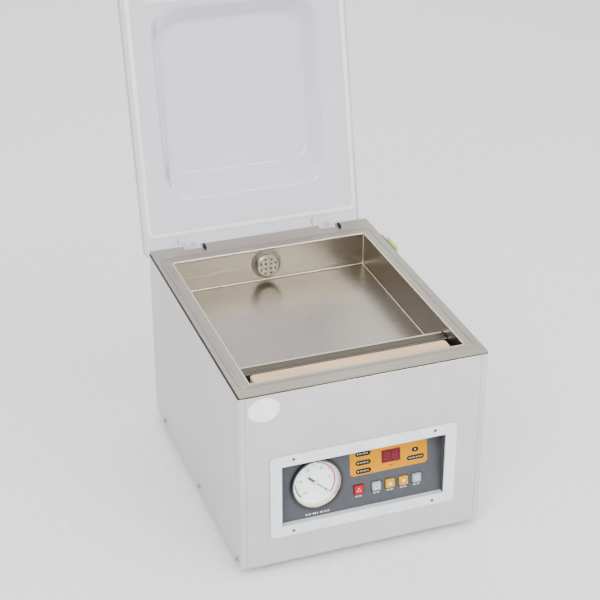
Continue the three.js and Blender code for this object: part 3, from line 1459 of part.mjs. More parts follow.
add(machine, "seal_bar", sealBar(), castAluminium);
add(machine, "heating_strip", heatingStrip(), heaterAlloy);
add(machine, "seal_tape", sealTape(), tanTape);

machine.add(lidGroup);
add(lidGroup, "lid", lid(), clearAcrylic);
add(lidGroup, "lid_gasket", lidGasket(), whiteSilicone);
add(lidGroup, "pad_channel", padChannel(), castAluminium);
add(lidGroup, "counter_pad", counterPad(), whiteSilicone);

for (const [side, word] of [
  [-1, "left"],
  [1, "right"],
]) {
  add(machine, `lift_pin_${word}`, liftPin(side), zincSteel);
  add(machine, `lift_cylinder_${word}`, liftCylinder(side), castAluminium);
  add(machine, `hinge_bracket_${word}`, hingeBracket(side), zincSteel);
  add(machine, `hinge_pin_${word}`, hingePin(side), zincSteel);
  add(lidGroup, `hinge_arm_${word}`, hingeArm(side), castAluminium);
}
boltPlaces().forEach((place, i) => add(lidGroup, `hinge_bolt_${i + 1}`, hingeBolt(place), zincSteel));

add(machine, "control_bezel", bezel(), greyBezel);
machine.add(panelGroup);
add(panelGroup, "control_panel", controlPanel(), darkPanel);
add(panelGroup, "display_lens", displayLens(), redLens);
add(panelGroup, "gauge_case", gaugeCase(), blackPlastic);
add(panelGroup, "gauge_dial", gaugeDial(), dialWhite);
add(panelGroup, "gauge_needle", gaugeNeedle(), blackPlastic);
add(panelGroup, "gauge_glass", gaugeGlass(), glass);
add(panelGroup, "control_board", controlBoard(), boardGreen);
const buttonColours = {
  stop: redPlastic,
  set: greyPlastic,
  increase: yellowPlastic,
  decrease: yellowPlastic,
  enter: greyPlastic,
};
for (const [name, x] of Object.entries(BUTTONS)) {
  add(panelGroup, `button_${name}`, button(x), buttonColours[name]);
}

add(machine, "switch_frame", switchFrame(), blackPlastic);
add(machine, "power_rocker", rockerBody(), greenLens);
add(machine, "power_inlet", powerInlet(), blackPlastic);
add(machine, "fuse_holder", fuseHolder(), blackPlastic);

add(machine, "pump_body", pumpBody(), pumpPaint);
add(machine, "oil_sight_glass", sightGlass(), glass);
add(machine, "pump_motor", pumpMotor(), castAluminium);
add(machine, "motor_fan", motorFan(), blackPlastic);
add(machine, "fan_cowl", fanCowl(), zincSteel);
add(machine, "vacuum_hose", vacuumHose(), clearHose);
add(machine, "seal_transformer", transformer(), zincSteel);
add(machine, "valve_block", valveBlock(), castAluminium);

const open = new THREE.Box3().setFromObject(machine, true);
const middle = open.getCenter(new THREE.Vector3());
machine.position.set(-middle.x, -middle.y, 0);

export default machine;
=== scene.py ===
# %% [markdown]
# # Tabletop chamber vacuum packing machine
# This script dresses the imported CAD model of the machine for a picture. The CAD solids stay
# where they are. Those with flat faces get a better material, and the rounded or printed ones
# are replaced by finer surfaces, each computed from a formula with numpy.
#
# Lengths in the helpers are millimetres, and `mesh_piece` turns them into Blender's metres.

# %% Load the frame
import json
import bpy
import numpy as np
from mathutils import Matrix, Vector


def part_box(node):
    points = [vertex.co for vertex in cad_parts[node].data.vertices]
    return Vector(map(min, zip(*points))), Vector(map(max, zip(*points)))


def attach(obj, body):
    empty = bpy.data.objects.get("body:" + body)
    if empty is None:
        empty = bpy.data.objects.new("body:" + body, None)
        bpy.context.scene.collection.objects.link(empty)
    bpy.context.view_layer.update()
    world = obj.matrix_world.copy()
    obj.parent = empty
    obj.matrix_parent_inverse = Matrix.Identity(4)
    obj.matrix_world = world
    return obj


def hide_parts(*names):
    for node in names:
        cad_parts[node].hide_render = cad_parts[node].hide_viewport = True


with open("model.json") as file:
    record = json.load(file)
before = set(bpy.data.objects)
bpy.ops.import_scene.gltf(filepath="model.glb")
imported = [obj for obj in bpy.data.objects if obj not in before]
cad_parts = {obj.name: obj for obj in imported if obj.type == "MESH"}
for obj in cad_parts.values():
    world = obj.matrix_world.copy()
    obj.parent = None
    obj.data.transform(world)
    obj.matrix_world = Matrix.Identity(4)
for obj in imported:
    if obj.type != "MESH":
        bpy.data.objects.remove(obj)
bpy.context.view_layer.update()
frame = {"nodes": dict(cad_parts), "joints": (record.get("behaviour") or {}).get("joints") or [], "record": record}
MM = 0.001

# %% [markdown]
# ## Where things are
# Every place comes from the CAD: the side panels give the housing, and the joints give the
# hinge line and the gauge's middle. A *place frame* is an origin and three directions, so a
# piece can be computed flat and simple, and then laid on a tilted panel or an open lid.

# %% Place frames
low = np.array(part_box("left_side_panel")[0]) / MM
high = np.array(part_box("right_side_panel")[1]) / MM
LEFT, RIGHT, FRONT, BACK = low[0], high[0], low[1], high[1]
BASE = low[2]
MIDDLE = (low + high) / 2
RIM_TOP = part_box("rim_plate")[1][2] / MM - 1  # the seal ridge stands 1 mm above the rim
joints = {joint["name"]: joint for joint in frame["joints"]}


def directions(*rows):
    """Three directions, as rows: where local x, y and z point."""
    return np.array(rows, float)


X, Y, Z = np.eye(3)
HOUSING = (np.array([MIDDLE[0], MIDDLE[1], 0]), directions(X, Y, Z))

hinge = np.array(joints["lid_hinge"]["pos_m"]) / MM
opened = np.radians(joints["lid_hinge"]["range_deg"][1])
along_lid = np.array([0, -np.cos(opened), np.sin(opened)])  # from the hinge to the free edge
LID = (hinge, directions(X, -along_lid, np.cross(X, -along_lid)))

outward = np.array(joints["gauge_needle_turn"]["axis"])
GAUGE_X, GAUGE_U, PIVOT_DEPTH = -60.2, 0.4, 4
up_panel = np.cross(outward, X)
pivot = np.array(joints["gauge_needle_turn"]["pos_m"]) / MM
gauge_middle = pivot + PIVOT_DEPTH * outward
panel_middle = gauge_middle - GAUGE_X * X - GAUGE_U * up_panel
PANEL = (panel_middle, directions(X, up_panel, outward))
GAUGE = (gauge_middle, PANEL[1])
print("hinge", hinge.round(1), "panel", panel_middle.round(1), "opened", np.degrees(opened).round(1))

# %% [markdown]
# ## Surfaces from arrays
# A surface is a grid of points: one index runs along it and the other across. Two grids joined
# by quads make a tube, and a tube with its ends closed is a solid. All pieces below use the same
# three makers: a stack of outlines, a profile turned about an axis, and a section swept along a
# closed path. Making them as arrays is quick, exact, and easy to change by one number.


# %% Mesh makers
def mesh_piece(name, place, points, faces, sharp=35):
    """One mesh object from points in millimetres in a place frame.

    A point p becomes origin + p.x * first direction + p.y * second + p.z * third. Faces that
    meet at more than `sharp` degrees keep a crisp edge, and all others are shaded smooth.
    """
    origin, axes = place
    mesh = bpy.data.meshes.new(name)
    world = (origin + np.asarray(points).reshape(-1, 3) @ axes) * MM
    mesh.from_pydata(world.tolist(), [], faces)
    mesh.shade_smooth()
    mesh.set_sharp_from_angle(angle=np.radians(sharp))
    mesh.validate()
    piece = bpy.data.objects.new(name, mesh)
    bpy.context.scene.collection.objects.link(piece)
    return piece


def quads(rows, columns, close_rows=False):
    """Corner numbers of the quads of a grid whose columns run round in a loop.

    Quad (i, j) joins points (i, j), (i, j+1), (i+1, j+1) and (i+1, j).
    """
    i, j = np.meshgrid(np.arange(rows if close_rows else rows - 1), np.arange(columns), indexing="ij")
    after_i, after_j = (i + 1) % rows, (j + 1) % columns
    corners = [i * columns + j, i * columns + after_j, after_i * columns + after_j, after_i * columns + j]
    return np.stack(corners, axis=-1).reshape(-1, 4).tolist()


def stack(name, place, outlines, heights, sharp=35):
    """A solid made of outlines laid one over another, with flat ends.

    Point (i, j) is point j of outline i at height i. The outlines run anticlockwise.
    """
    outlines = [np.asarray(outline) for outline in outlines]
    rows, columns = len(outlines), len(outlines[0])
    grid = np.zeros((rows, columns, 3))
    grid[..., :2] = np.stack(outlines)
    grid[..., 2] = np.asarray(heights)[:, None]
    faces = quads(rows, columns)
    faces.append(list(range(columns))[::-1])
    faces.append(list(range((rows - 1) * columns, rows * columns)))
    return mesh_piece(name, place, grid, faces, sharp)


def circle(radius, sides=64, centre=(0, 0)):
    """Point at angle a: centre + radius * (cos a, sin a)."""
    angle = np.linspace(0, 2 * np.pi, sides, endpoint=False)
    return np.stack([np.cos(angle), np.sin(angle)], axis=1) * radius + centre


def rounded(width, depth, radius, centre=(0, 0), corner=10):
    """Rectangle with round corners: four quarter circles of `radius`, each about its own middle."""
    turn = np.tile(np.linspace(0, np.pi / 2, corner + 1), 4)
    quarter = np.repeat(np.arange(4), corner + 1)
    angle = turn + quarter * np.pi / 2
    side_x = np.array([1, -1, -1, 1])[quarter] * (width / 2 - radius)
    side_y = np.array([1, 1, -1, -1])[quarter] * (depth / 2 - radius)
    outline = np.stack([side_x + radius * np.cos(angle), side_y + radius * np.sin(angle)], axis=1)
    return outline + centre


def slab(name, place, outline, bottom, top, edge=0.0):
    """A flat piece with an outline and, if asked, a chamfered upper edge of size `edge`."""
    outline = np.asarray(outline, float)
    middle = outline.mean(axis=0)
    reach = np.abs(outline - middle).max(axis=0)
    inner = middle + (outline - middle) * (1 - edge / reach)
    outlines, heights = [outline, outline], [bottom, top - edge]
    if edge:
        outlines.append(inner)
        heights.append(top)
    return stack(name, place, outlines, heights)


def revolve(name, place, profile, sides=72, sharp=35):
    """A profile of (radius, height) turned about local z: point (i, j) lies at radius i, angle j."""
    profile = np.asarray(profile, float)
    rings = [circle(max(radius, 0.01), sides) for radius, _ in profile]
    return stack(name, place, rings, profile[:, 1], sharp)


def sweep(name, place, path, section, sharp=50):
    """A section of (across, up) carried round a closed path in the local xy plane.

    Point (i, j) is path point j moved by section point i along the path's outward normal and z.
    """
    path, section = np.asarray(path, float), np.asarray(section, float)
    ahead = np.roll(path, -1, axis=0) - np.roll(path, 1, axis=0)
    normal = np.stack([ahead[:, 1], -ahead[:, 0]], axis=1)
    normal /= np.linalg.norm(normal, axis=1, keepdims=True)
    grid = np.zeros((len(section), len(path), 3))
    grid[..., :2] = path[None] + section[:, 0, None, None] * normal[None]
    grid[..., 2] = section[:, 1, None]
    return mesh_piece(name, place, grid, quads(*grid.shape[:2], close_rows=True), sharp)


def moved(place, x=0.0, y=0.0, z=0.0):
    """The same place frame with its origin moved in its own directions, in millimetres."""
    origin, axes = place
    return origin + np.array([x, y, z]) @ axes, axes


def dress(piece, body, material, replaces=()):
    """Gives a piece its material, hides the CAD nodes it stands for, and lets it ride."""
    piece.data.materials.clear()
    piece.data.materials.append(material)
    if replaces:
        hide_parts(*replaces)
    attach(piece, body)
    return piece


# %% [markdown]
# ## Materials
# Each material is a small tree of nodes that computes its colour, roughness and relief from the
# place on the object, so it needs no image and no unwrapping. A Principled shader turns those
# into light. Streaks come from noise that is stretched along one direction, which is what a
# brushing belt leaves on steel.


# %% Node helpers
def linear(code):
    """A colour code such as "#D2CECD" as linear red, green, blue and alpha."""
    share = np.array([int(code[i : i + 2], 16) for i in (1, 3, 5)]) / 255
    value = np.where(share <= 0.04045, share / 12.92, ((share + 0.055) / 1.055) ** 2.4)
    return (*value.tolist(), 1.0)


def node(tree, kind, **settings):
    """Adds a shader node. A setting is a property of the node, or an input by its name with _ for a
    space (in_0 is the first input); an output socket is linked and a plain value is set. The stops
    of a colour ramp are pairs of a position and a grey or a colour."""
    made = tree.nodes.new("ShaderNode" + kind)
    for key, value in settings.items():
        if key == "stops":
            elements = made.color_ramp.elements
            while len(elements) < len(value):
                elements.new(0.5)
            for element, (position, colour) in zip(elements, value):
                element.position = position
                element.color = colour if isinstance(colour, tuple) else (colour, colour, colour, 1)
            continue
        if hasattr(made, key):
            setattr(made, key, value)
            continue
        name = int(key[3:]) if key.startswith("in_") else key.replace("_", " ")
        socket = made.inputs[name]
        if isinstance(value, bpy.types.NodeSocket):
            tree.links.new(value, socket)
        else:
            socket.default_value = value
    return made


def start(name):
    """An empty material, its tree and the object's own coordinates, in metres."""
    material = bpy.data.materials.new(name)
    material.use_nodes = True
    tree = material.node_tree
    tree.nodes.clear()
    place = node(tree, "TexCoord").outputs["Object"]
    return material, tree, place


def finish(material, tree, shader):
    """Puts the shader on the material's output."""
    node(tree, "OutputMaterial", Surface=shader)
    return material


def blotches(tree, place, size, detail=3.0, stretch=(1, 1, 1)):
    """Noise whose blotches are about `size` mm across, drawn out `stretch` times along each axis."""
    scale = tuple(1 / (size * MM * part) for part in stretch)
    spread = node(tree, "Mapping", Vector=place, Scale=scale)
    made = node(tree, "TexNoise", Vector=spread.outputs["Vector"], Scale=1.0, Detail=detail)
    return made.outputs["Fac"]


# %% [markdown]
# ### Brushed stainless steel
# A belt leaves hair-thin parallel scratches a few centimetres long. Two stretched noises make
# them, a fine one and a broad one, and they vary the roughness and tilt the surface a little. A
# third, cloudy noise stands for handling marks. The same recipe with another direction and tint
# serves the panels, the rim and the chamber.


# %% Metals
def brushed(name, colour, along, rough=0.36, relief=0.04, clouds=0.06, hair=0.35):
    """Metal brushed along one axis ("X", "Y" or "Z"): streaks `hair` mm wide and 80 times as long."""
    material, tree, place = start(name)
    stretch = {"X": (80, 1, 1), "Y": (1, 80, 1), "Z": (1, 1, 80)}[along]
    fine = blotches(tree, place, hair, 2.0, stretch)
    broad = blotches(tree, place, hair * 7, 3.0, stretch)
    cloud = blotches(tree, place, 70, 2.0)
    streak = node(tree, "Mix", data_type="FLOAT", Factor=0.45, in_2=fine, in_3=broad).outputs[0]
    base = linear(colour)
    dark = tuple(part * (1 - clouds * 1.6) for part in base[:3]) + (1.0,)
    light = tuple(min(1.0, part * (1 + clouds)) for part in base[:3]) + (1.0,)
    tint = node(tree, "ValToRGB", Fac=streak, stops=[(0.25, dark), (0.75, light)]).outputs["Color"]
    patch = node(tree, "ValToRGB", Fac=cloud, stops=[(0.3, 0.93), (0.7, 1.0)]).outputs["Color"]
    shade = node(tree, "Mix", data_type="RGBA", blend_type="MULTIPLY", Factor=1.0, in_6=tint, in_7=patch)
    wear = node(tree, "MapRange", Value=streak, From_Min=0.2, From_Max=0.8)
    wear.inputs["To Min"].default_value = rough - 0.07
    wear.inputs["To Max"].default_value = rough + 0.08
    bump = node(tree, "Bump", Height=streak, Strength=relief, Distance=0.0004)
    shader = node(tree, "BsdfPrincipled", Base_Color=shade.outputs[2], Metallic=1.0)
    tree.links.new(wear.outputs["Result"], shader.inputs["Roughness"])
    tree.links.new(bump.outputs["Normal"], shader.inputs["Normal"])
    return finish(material, tree, shader.outputs["BSDF"])


def cast(name, colour, rough=0.5, grain=0.5, relief=0.15, metallic=1.0):
    """Cast, plated or enamelled metal: an even surface with a fine grain and cloudy tone."""
    material, tree, place = start(name)
    fine = blotches(tree, place, grain, 3.0)
    cloud = blotches(tree, place, 25, 3.0)
    base = linear(colour)
    dark = tuple(part * 0.86 for part in base[:3]) + (1.0,)
    tint = node(tree, "ValToRGB", Fac=cloud, stops=[(0.3, dark), (0.7, base)]).outputs["Color"]
    bump = node(tree, "Bump", Height=fine, Strength=relief, Distance=0.0003)
    shader = node(tree, "BsdfPrincipled", Base_Color=tint, Metallic=metallic)
    wear = node(tree, "MapRange", Value=cloud, From_Min=0.3, From_Max=0.7)
    wear.inputs["To Min"].default_value = rough - 0.06
    wear.inputs["To Max"].default_value = rough + 0.06
    tree.links.new(wear.outputs["Result"], shader.inputs["Roughness"])
    tree.links.new(bump.outputs["Normal"], shader.inputs["Normal"])
    return finish(material, tree, shader.outputs["BSDF"])


# brushed_panel: the outer panels, brushed upright
steel_panel = brushed("brushed_panel_steel", "#D8D3D1", "Z", rough=0.42)
# brushed_rim: the rim plate, brushed from side to side
steel_rim = brushed("brushed_rim_steel", "#9C968A", "X", rough=0.34)
# chamber_steel: the tub and tray, finer and warmer, as pickled sheet is
steel_chamber = brushed("chamber_steel", "#9A9488", "X", rough=0.3, clouds=0.05, hair=0.25)
# bead steel: the beads along the chamber's corners and edges and the gauge's inner wall, tinted pale as painted
# highlight
steel_bead = brushed("painted_highlight_steel", "#DDD2C0", "Z", rough=0.24, hair=0.8)
# lip steel: the lip strip, tinted darker than the chamber steel as painted shade, since it faces the shaded trough
steel_dark = brushed("painted_shade_ribbed_steel", "#6B655A", "X", rough=0.4, hair=0.25)
zinc = cast("zinc_plate", "#A9ADB0", rough=0.42, grain=0.6)
aluminium = cast("cast_aluminium", "#E2E2E4", rough=0.55, grain=0.4, relief=0.2, metallic=0.5)
heater = brushed("heater_alloy", "#8A847C", "X", rough=0.38)
bezel_paint = cast("satin_bezel", "#E4E6E8", rough=0.42, grain=0.35, relief=0.05, metallic=0.15)
enamel = cast("pump_enamel", "#3F5F86", rough=0.4, grain=0.8, relief=0.2, metallic=0.0)
print("metals made")

# %% [markdown]
# ### Plastics, rubber and ink
# Moulded plastic copies the fine spark-eroded texture of its mould. A small-grained noise gives
# the relief, and a slow one shifts the roughness, so that no part of it is a single flat tone.


# %% Plastics
def moulded(name, colour, rough=0.45, grain=0.3, relief=0.12, gloss=0.5, glow=0.0):
    """Moulded plastic, rubber or printed ink with a grain `grain` mm across."""
    material, tree, place = start(name)
    fine = blotches(tree, place, grain, 2.0)
    slow = blotches(tree, place, 9, 2.0)
    base = linear(colour)
    dark = tuple(part * 0.9 for part in base[:3]) + (1.0,)
    tint = node(tree, "ValToRGB", Fac=slow, stops=[(0.3, dark), (0.7, base)]).outputs["Color"]
    bump = node(tree, "Bump", Height=fine, Strength=relief, Distance=0.0002)
    shader = node(tree, "BsdfPrincipled", Base_Color=tint)
    shader.inputs["Specular IOR Level"].default_value = gloss
    wear = node(tree, "MapRange", Value=slow, From_Min=0.3, From_Max=0.7)
    wear.inputs["To Min"].default_value = rough - 0.05
    wear.inputs["To Max"].default_value = rough + 0.05
    tree.links.new(wear.outputs["Result"], shader.inputs["Roughness"])
    tree.links.new(bump.outputs["Normal"], shader.inputs["Normal"])
    if glow:
        tree.links.new(tint, shader.inputs["Emission Color"])
        shader.inputs["Emission Strength"].default_value = glow
    return finish(material, tree, shader.outputs["BSDF"])


panel_film = moulded("panel_film", "#4C4E52", rough=0.55, grain=0.25, relief=0.06, gloss=0.15)
black_plastic = moulded("black_plastic", "#202226", rough=0.42)
red_plastic = moulded("red_button_plastic", "#AA0A1A", rough=0.35, relief=0.05, gloss=0.2)
grey_plastic = moulded("grey_button_plastic", "#989FA4", rough=0.45, gloss=0.2)
yellow_plastic = moulded("yellow_button_plastic", "#CF9800", rough=0.45, gloss=0.15)
yellow_ink = moulded("yellow_ink", "#CB8800", rough=0.6, relief=0.04, gloss=0.05)
dark_ink = moulded("dark_ink", "#2A2418", rough=0.55, relief=0.04, gloss=0.1)
pale_ink = moulded("pale_ink", "#D8D8D4", rough=0.5, relief=0.04)
print_grey = moulded("print_grey", "#A8A49A", rough=0.5, relief=0.04)
white_ink = moulded("white_ink", "#F2F2EE", rough=0.5, relief=0.04)
red_ink = moulded("red_ink", "#BC2C40", rough=0.5, relief=0.04)
green_ink = moulded("green_ink", "#14804A", rough=0.5, relief=0.04)
dial_white = moulded("dial_white", "#EEF0F0", rough=0.55, relief=0.03)
label_white = moulded("label_white", "#F4F4F2", rough=0.4, relief=0.03)
segment_red = moulded("segment_red", "#6C1622", rough=0.4, relief=0.03)
red_filter = moulded("red_filter", "#64101C", rough=0.25, relief=0.02, gloss=0.2)
black_rubber = moulded("black_rubber", "#1C1C1C", rough=0.8, grain=0.8, relief=0.4, gloss=0.3)
board_resin = moulded("board_resin", "#2F6B46", rough=0.5, grain=1.2, relief=0.3)
hose_plastic = moulded("hose_plastic", "#CFD6D4", rough=0.3)
needle_paint = moulded("needle_paint", "#26282A", rough=0.45)
hub_cream = moulded("hub_cream", "#E2D7AE", rough=0.35)

# %% [markdown]
# ### Tape, silicone and glass
# The tape over the seal bar is glass cloth soaked in a non-stick resin, so it has a plain weave
# of about 0.6 mm: two wave patterns at right angles, multiplied. Silicone is slightly milky,
# which a little subsurface scattering gives. Clear acrylic is a refracting shader, mixed with a
# transparent one for shadow rays only, so that lamps still light what is behind it.


# %% Tape, silicone, acrylic
def woven(name, colour, pitch):
    """Plain weave: height = wave along x times wave along y, each with period `pitch` mm."""
    material, tree, place = start(name)
    waves = []
    for direction in ("X", "Y"):
        wave = node(tree, "TexWave", Vector=place, bands_direction=direction, Scale=1 / (pitch * MM * 3.2))
        waves.append(wave.outputs["Fac"])
    cloth = node(tree, "Math", operation="MULTIPLY", in_0=waves[0], in_1=waves[1]).outputs[0]
    scorch = blotches(tree, place, 30, 3.0, (3, 1, 1))
    base = linear(colour)
    dark = tuple(part * 0.8 for part in base[:3]) + (1.0,)
    tint = node(tree, "ValToRGB", Fac=scorch, stops=[(0.3, dark), (0.65, base)]).outputs["Color"]
    bump = node(tree, "Bump", Height=cloth, Strength=0.35, Distance=0.0003)
    shader = node(tree, "BsdfPrincipled", Base_Color=tint, Roughness=0.5)
    tree.links.new(bump.outputs["Normal"], shader.inputs["Normal"])
    return finish(material, tree, shader.outputs["BSDF"])


def milky(name, colour, rough=0.5):
    """Silicone rubber: light enters it and comes out a few millimetres away."""
    material, tree, place = start(name)
    slow = blotches(tree, place, 12, 2.0)
    base = linear(colour)
    dark = tuple(part * 0.92 for part in base[:3]) + (1.0,)
    tint = node(tree, "ValToRGB", Fac=slow, stops=[(0.3, dark), (0.7, base)]).outputs["Color"]
    fine = blotches(tree, place, 0.6, 2.0)
    bump = node(tree, "Bump", Height=fine, Strength=0.1, Distance=0.0003)
    shader = node(tree, "BsdfPrincipled", Base_Color=tint, Roughness=rough)
    shader.inputs["Subsurface Weight"].default_value = 0.4
    shader.inputs["Subsurface Scale"].default_value = 0.003
    tree.links.new(bump.outputs["Normal"], shader.inputs["Normal"])
    return finish(material, tree, shader.outputs["BSDF"])


def clear(name, colour, rough=0.03, haze=0.0, ripple=0.02):
    """Clear plastic or glass: refraction with a faint haze, and open to lamps."""
    material, tree, place = start(name)
    slow = blotches(tree, place, 60, 2.0)
    bump = node(tree, "Bump", Height=slow, Strength=ripple, Distance=0.002)
    tint = linear(colour)
    pane = node(tree, "BsdfPrincipled", Base_Color=tint, Roughness=rough, IOR=1.49)
    pane.inputs["Transmission Weight"].default_value = 1.0
    tree.links.new(bump.outputs["Normal"], pane.inputs["Normal"])
    cloud = node(tree, "ValToRGB", Fac=slow, stops=[(0.3, haze * 0.7), (0.7, haze)]).outputs["Color"]
    mist = node(tree, "BsdfDiffuse", Color=tint)
    body = node(tree, "MixShader", Fac=cloud)
    tree.links.new(pane.outputs["BSDF"], body.inputs[1])
    tree.links.new(mist.outputs["BSDF"], body.inputs[2])
    ray = node(tree, "LightPath")
    through = node(tree, "BsdfTransparent", Color=tint)
    mixed = node(tree, "MixShader", Fac=ray.outputs["Is Shadow Ray"])
    tree.links.new(body.outputs["Shader"], mixed.inputs[1])
    tree.links.new(through.outputs["BSDF"], mixed.inputs[2])
    return finish(material, tree, mixed.outputs["Shader"])


tape = woven("glass_cloth_tape", "#EAC497", pitch=0.6)
silicone = milky("white_silicone", "#E9E8E5")
acrylic = clear("clear_acrylic", "#E9E6EE", rough=0.04, haze=0.2)
gauge_glass = clear("gauge_glass", "#FAFCFC", rough=0.01)
rocker_green = milky("rocker_green", "#A6CC2E", rough=0.3)
print(len(bpy.data.materials), "materials")

# %% [markdown]
# ## Materials on the CAD nodes
# The record names a material slot for every node. One table gives each slot its material here,
# and single nodes that are brushed in another direction come after it.

# %% Dress the CAD
slot_material = {
    "brushed_steel": steel_panel,
    "chamber_steel": steel_chamber,
    "zinc_steel": zinc,
    "cast_aluminium": aluminium,
    "clear_acrylic": acrylic,
    "white_silicone": silicone,
    "tan_tape": tape,
    "heater_alloy": heater,
    "grey_bezel": bezel_paint,
    "dark_panel": panel_film,
    "black_plastic": black_plastic,
    "red_button": red_plastic,
    "grey_button": grey_plastic,
    "yellow_button": yellow_plastic,
    "red_lens": red_filter,
    "dial_white": dial_white,
    "needle_black": needle_paint,
    "gauge_glass": gauge_glass,
    "green_rocker": rocker_green,
    "foot_rubber": black_rubber,
    "pump_paint": enamel,
    "board_green": board_resin,
    "clear_hose": hose_plastic,
}
slot_of = {part["node"]: part["material_slot"] for part in frame["record"]["subparts"]}
own_material = {"rim_plate": steel_rim, "vacuum_port_cover": steel_rim}
for name, item in frame["nodes"].items():
    item.data.materials.clear()
    item.data.materials.append(own_material.get(name, slot_material[slot_of[name]]))
print(len(frame["nodes"]), "CAD nodes dressed")

# %% [markdown]
# ## The lid
# The lid is one moulding: a thick flat flange that runs into a shallow dome. It is computed as a
# stack of rounded rectangles. The stack starts on the dome's inner top, comes down inside it,
# crosses the flange's inner face, turns round its edge and climbs the dome again outside. One
# surface with even thickness refracts as a real moulding does, which two boxes wouldn't.

# %% Lid moulding
LID_WIDTH, LID_DEPTH, LID_FACE, LID_THICK = 328, 412, 22.5, 18
DOME_FROM_HINGE, DOME_WIDTH, DOME_DEPTH, DOME_HEIGHT, DOME_WALL = 75, 240, 280, 38, 10


def smootherstep(t):
    """6t^5 - 15t^4 + 10t^3: from 0 to 1 with no slope or bend at either end."""
    return t**3 * (t * (6 * t - 15) + 10)


def lid_rings():
    """Outlines and heights of the lid, from the inner top of the dome round to its outer top."""
    outlines, heights = [], []
    share = np.linspace(0, 1, 25)
    dome_middle = (0, -(DOME_FROM_HINGE + DOME_DEPTH / 2))
    lid_middle = (0, -LID_DEPTH / 2)

    def add(width, depth, radius, middle, height):
        outlines.append(rounded(width, depth, radius, middle, corner=12))
        heights.append(height)

    for t in share[::-1]:
        inner = (DOME_WIDTH - 40 * t, DOME_DEPTH - 72 * t)
        add(*inner, 32, dome_middle, LID_FACE + DOME_HEIGHT * smootherstep(t))
    edge = 2.4
    for angle in np.linspace(-np.pi / 2, 0, 6):
        inset = 2 * edge * (1 - np.cos(angle))
        height = LID_FACE + edge * (1 + np.sin(angle))
        add(LID_WIDTH - inset, LID_DEPTH - inset, 6, lid_middle, height)
    for angle in np.linspace(0, np.pi / 2, 6):
        inset = 2 * edge * (1 - np.cos(angle))
        height = LID_FACE + LID_THICK - edge * (1 - np.sin(angle))
        add(LID_WIDTH - inset, LID_DEPTH - inset, 6, lid_middle, height)
    rise = DOME_HEIGHT + DOME_WALL - LID_THICK
    for t in share:
        outer = (DOME_WIDTH + DOME_WALL - 40 * t, DOME_DEPTH + DOME_WALL - 72 * t)
        add(*outer, 32 + DOME_WALL / 2, dome_middle, LID_FACE + LID_THICK + rise * smootherstep(t))
    return outlines, heights


lid = stack("lid_moulding", LID, *lid_rings(), sharp=60)
dress(lid, "lid", acrylic, ["lid"])
print("lid:", len(lid.data.polygons), "faces")

# %% [markdown]
# The gasket is a soft tube with a flat back, so its section is a circle with the lower part cut
# off. It follows the rim's seal ridge, which is a rounded rectangle.

# %% Gasket
RIDGE_SIDE, RIDGE_FRONT, RIDGE_BACK = 9.5, 19, 30
ridge_size = (RIGHT - LEFT - 2 * RIDGE_SIDE, BACK - FRONT - RIDGE_FRONT - RIDGE_BACK)
ridge_middle = (0, -(BACK - FRONT) / 2 + (RIDGE_FRONT - RIDGE_BACK) / 2)
around = np.radians(np.linspace(-155, 155, 15))
section = np.stack([3.4 * np.sin(around), LID_FACE - 1.6 - 1.35 * np.cos(around)], axis=1)
gasket_path = rounded(*ridge_size, 10, ridge_middle, corner=12)
gasket = sweep("lid_gasket_tube", LID, gasket_path, section[::-1])
dress(gasket, "lid", silicone, ["lid_gasket"])

# %% [markdown]
# Each hinge arm is held by two socket screws through the lid, over a washer. They are turned
# profiles; the hexagon socket is not cut, but drawn as a thin black six-sided disc on the head,
# painted shade in place of the pocket.

# %% Hinge screws
HINGE_X, BOLT_X, BOLT_FROM_HINGE = 102, 7, 15
head = [(0, 2.7), (1.9, 2.7), (3.4, 2.5), (4.3, 1.7), (4.6, 0.6)]
head += [(4.6, 0.1), (2.4, 0.1), (2.4, -21), (0, -21)]
ring = [(2.8, 0), (7.2, 0), (7.4, 0.15), (7.4, 0.75), (7.2, 0.9), (2.8, 0.9)]
for number in range(4):
    side, end = divmod(number, 2)
    x = (HINGE_X if side else -HINGE_X) + (BOLT_X if end else -BOLT_X)
    top = moved(LID, x, -BOLT_FROM_HINGE, LID_FACE + LID_THICK)
    screw = revolve(f"hinge_screw_{number + 1}", moved(top, z=0.0), head[::-1], 40)
    dress(screw, "lid", aluminium, [f"hinge_bolt_{number + 1}"])
    # a thin black hexagon laid on the head: painted shade standing for the socket's pocket
    socket = slab(f"hinge_socket_shade_{number + 1}", top, circle(1.5, 6), 2.6, 2.78)
    dress(socket, "lid", black_plastic)
    below_lid = moved(top, z=-LID_THICK - 0.9)
    under = slab(f"hinge_washer_{number + 1}", below_lid, circle(6.6, 48), 0.0, 0.7, 0.2)
    dress(under, "lid", aluminium)

# %% [markdown]
# A small rubber buffer beside each hinge keeps the closed lid from knocking on the rim.

# %% Buffers
for name, x in [("left", -HINGE_X + 15.4), ("right", HINGE_X + 15.4)]:
    outlines = [rounded(2.8 - i, 12 - i, 1, (x, BACK - MIDDLE[1] - 12)) for i in (0, 0, 0.6)]
    buffer = stack(f"lid_buffer_{name}", HOUSING, outlines, [RIM_TOP - 0.1, RIM_TOP + 3.2, RIM_TOP + 3.8])
    dress(buffer, "housing", black_rubber)
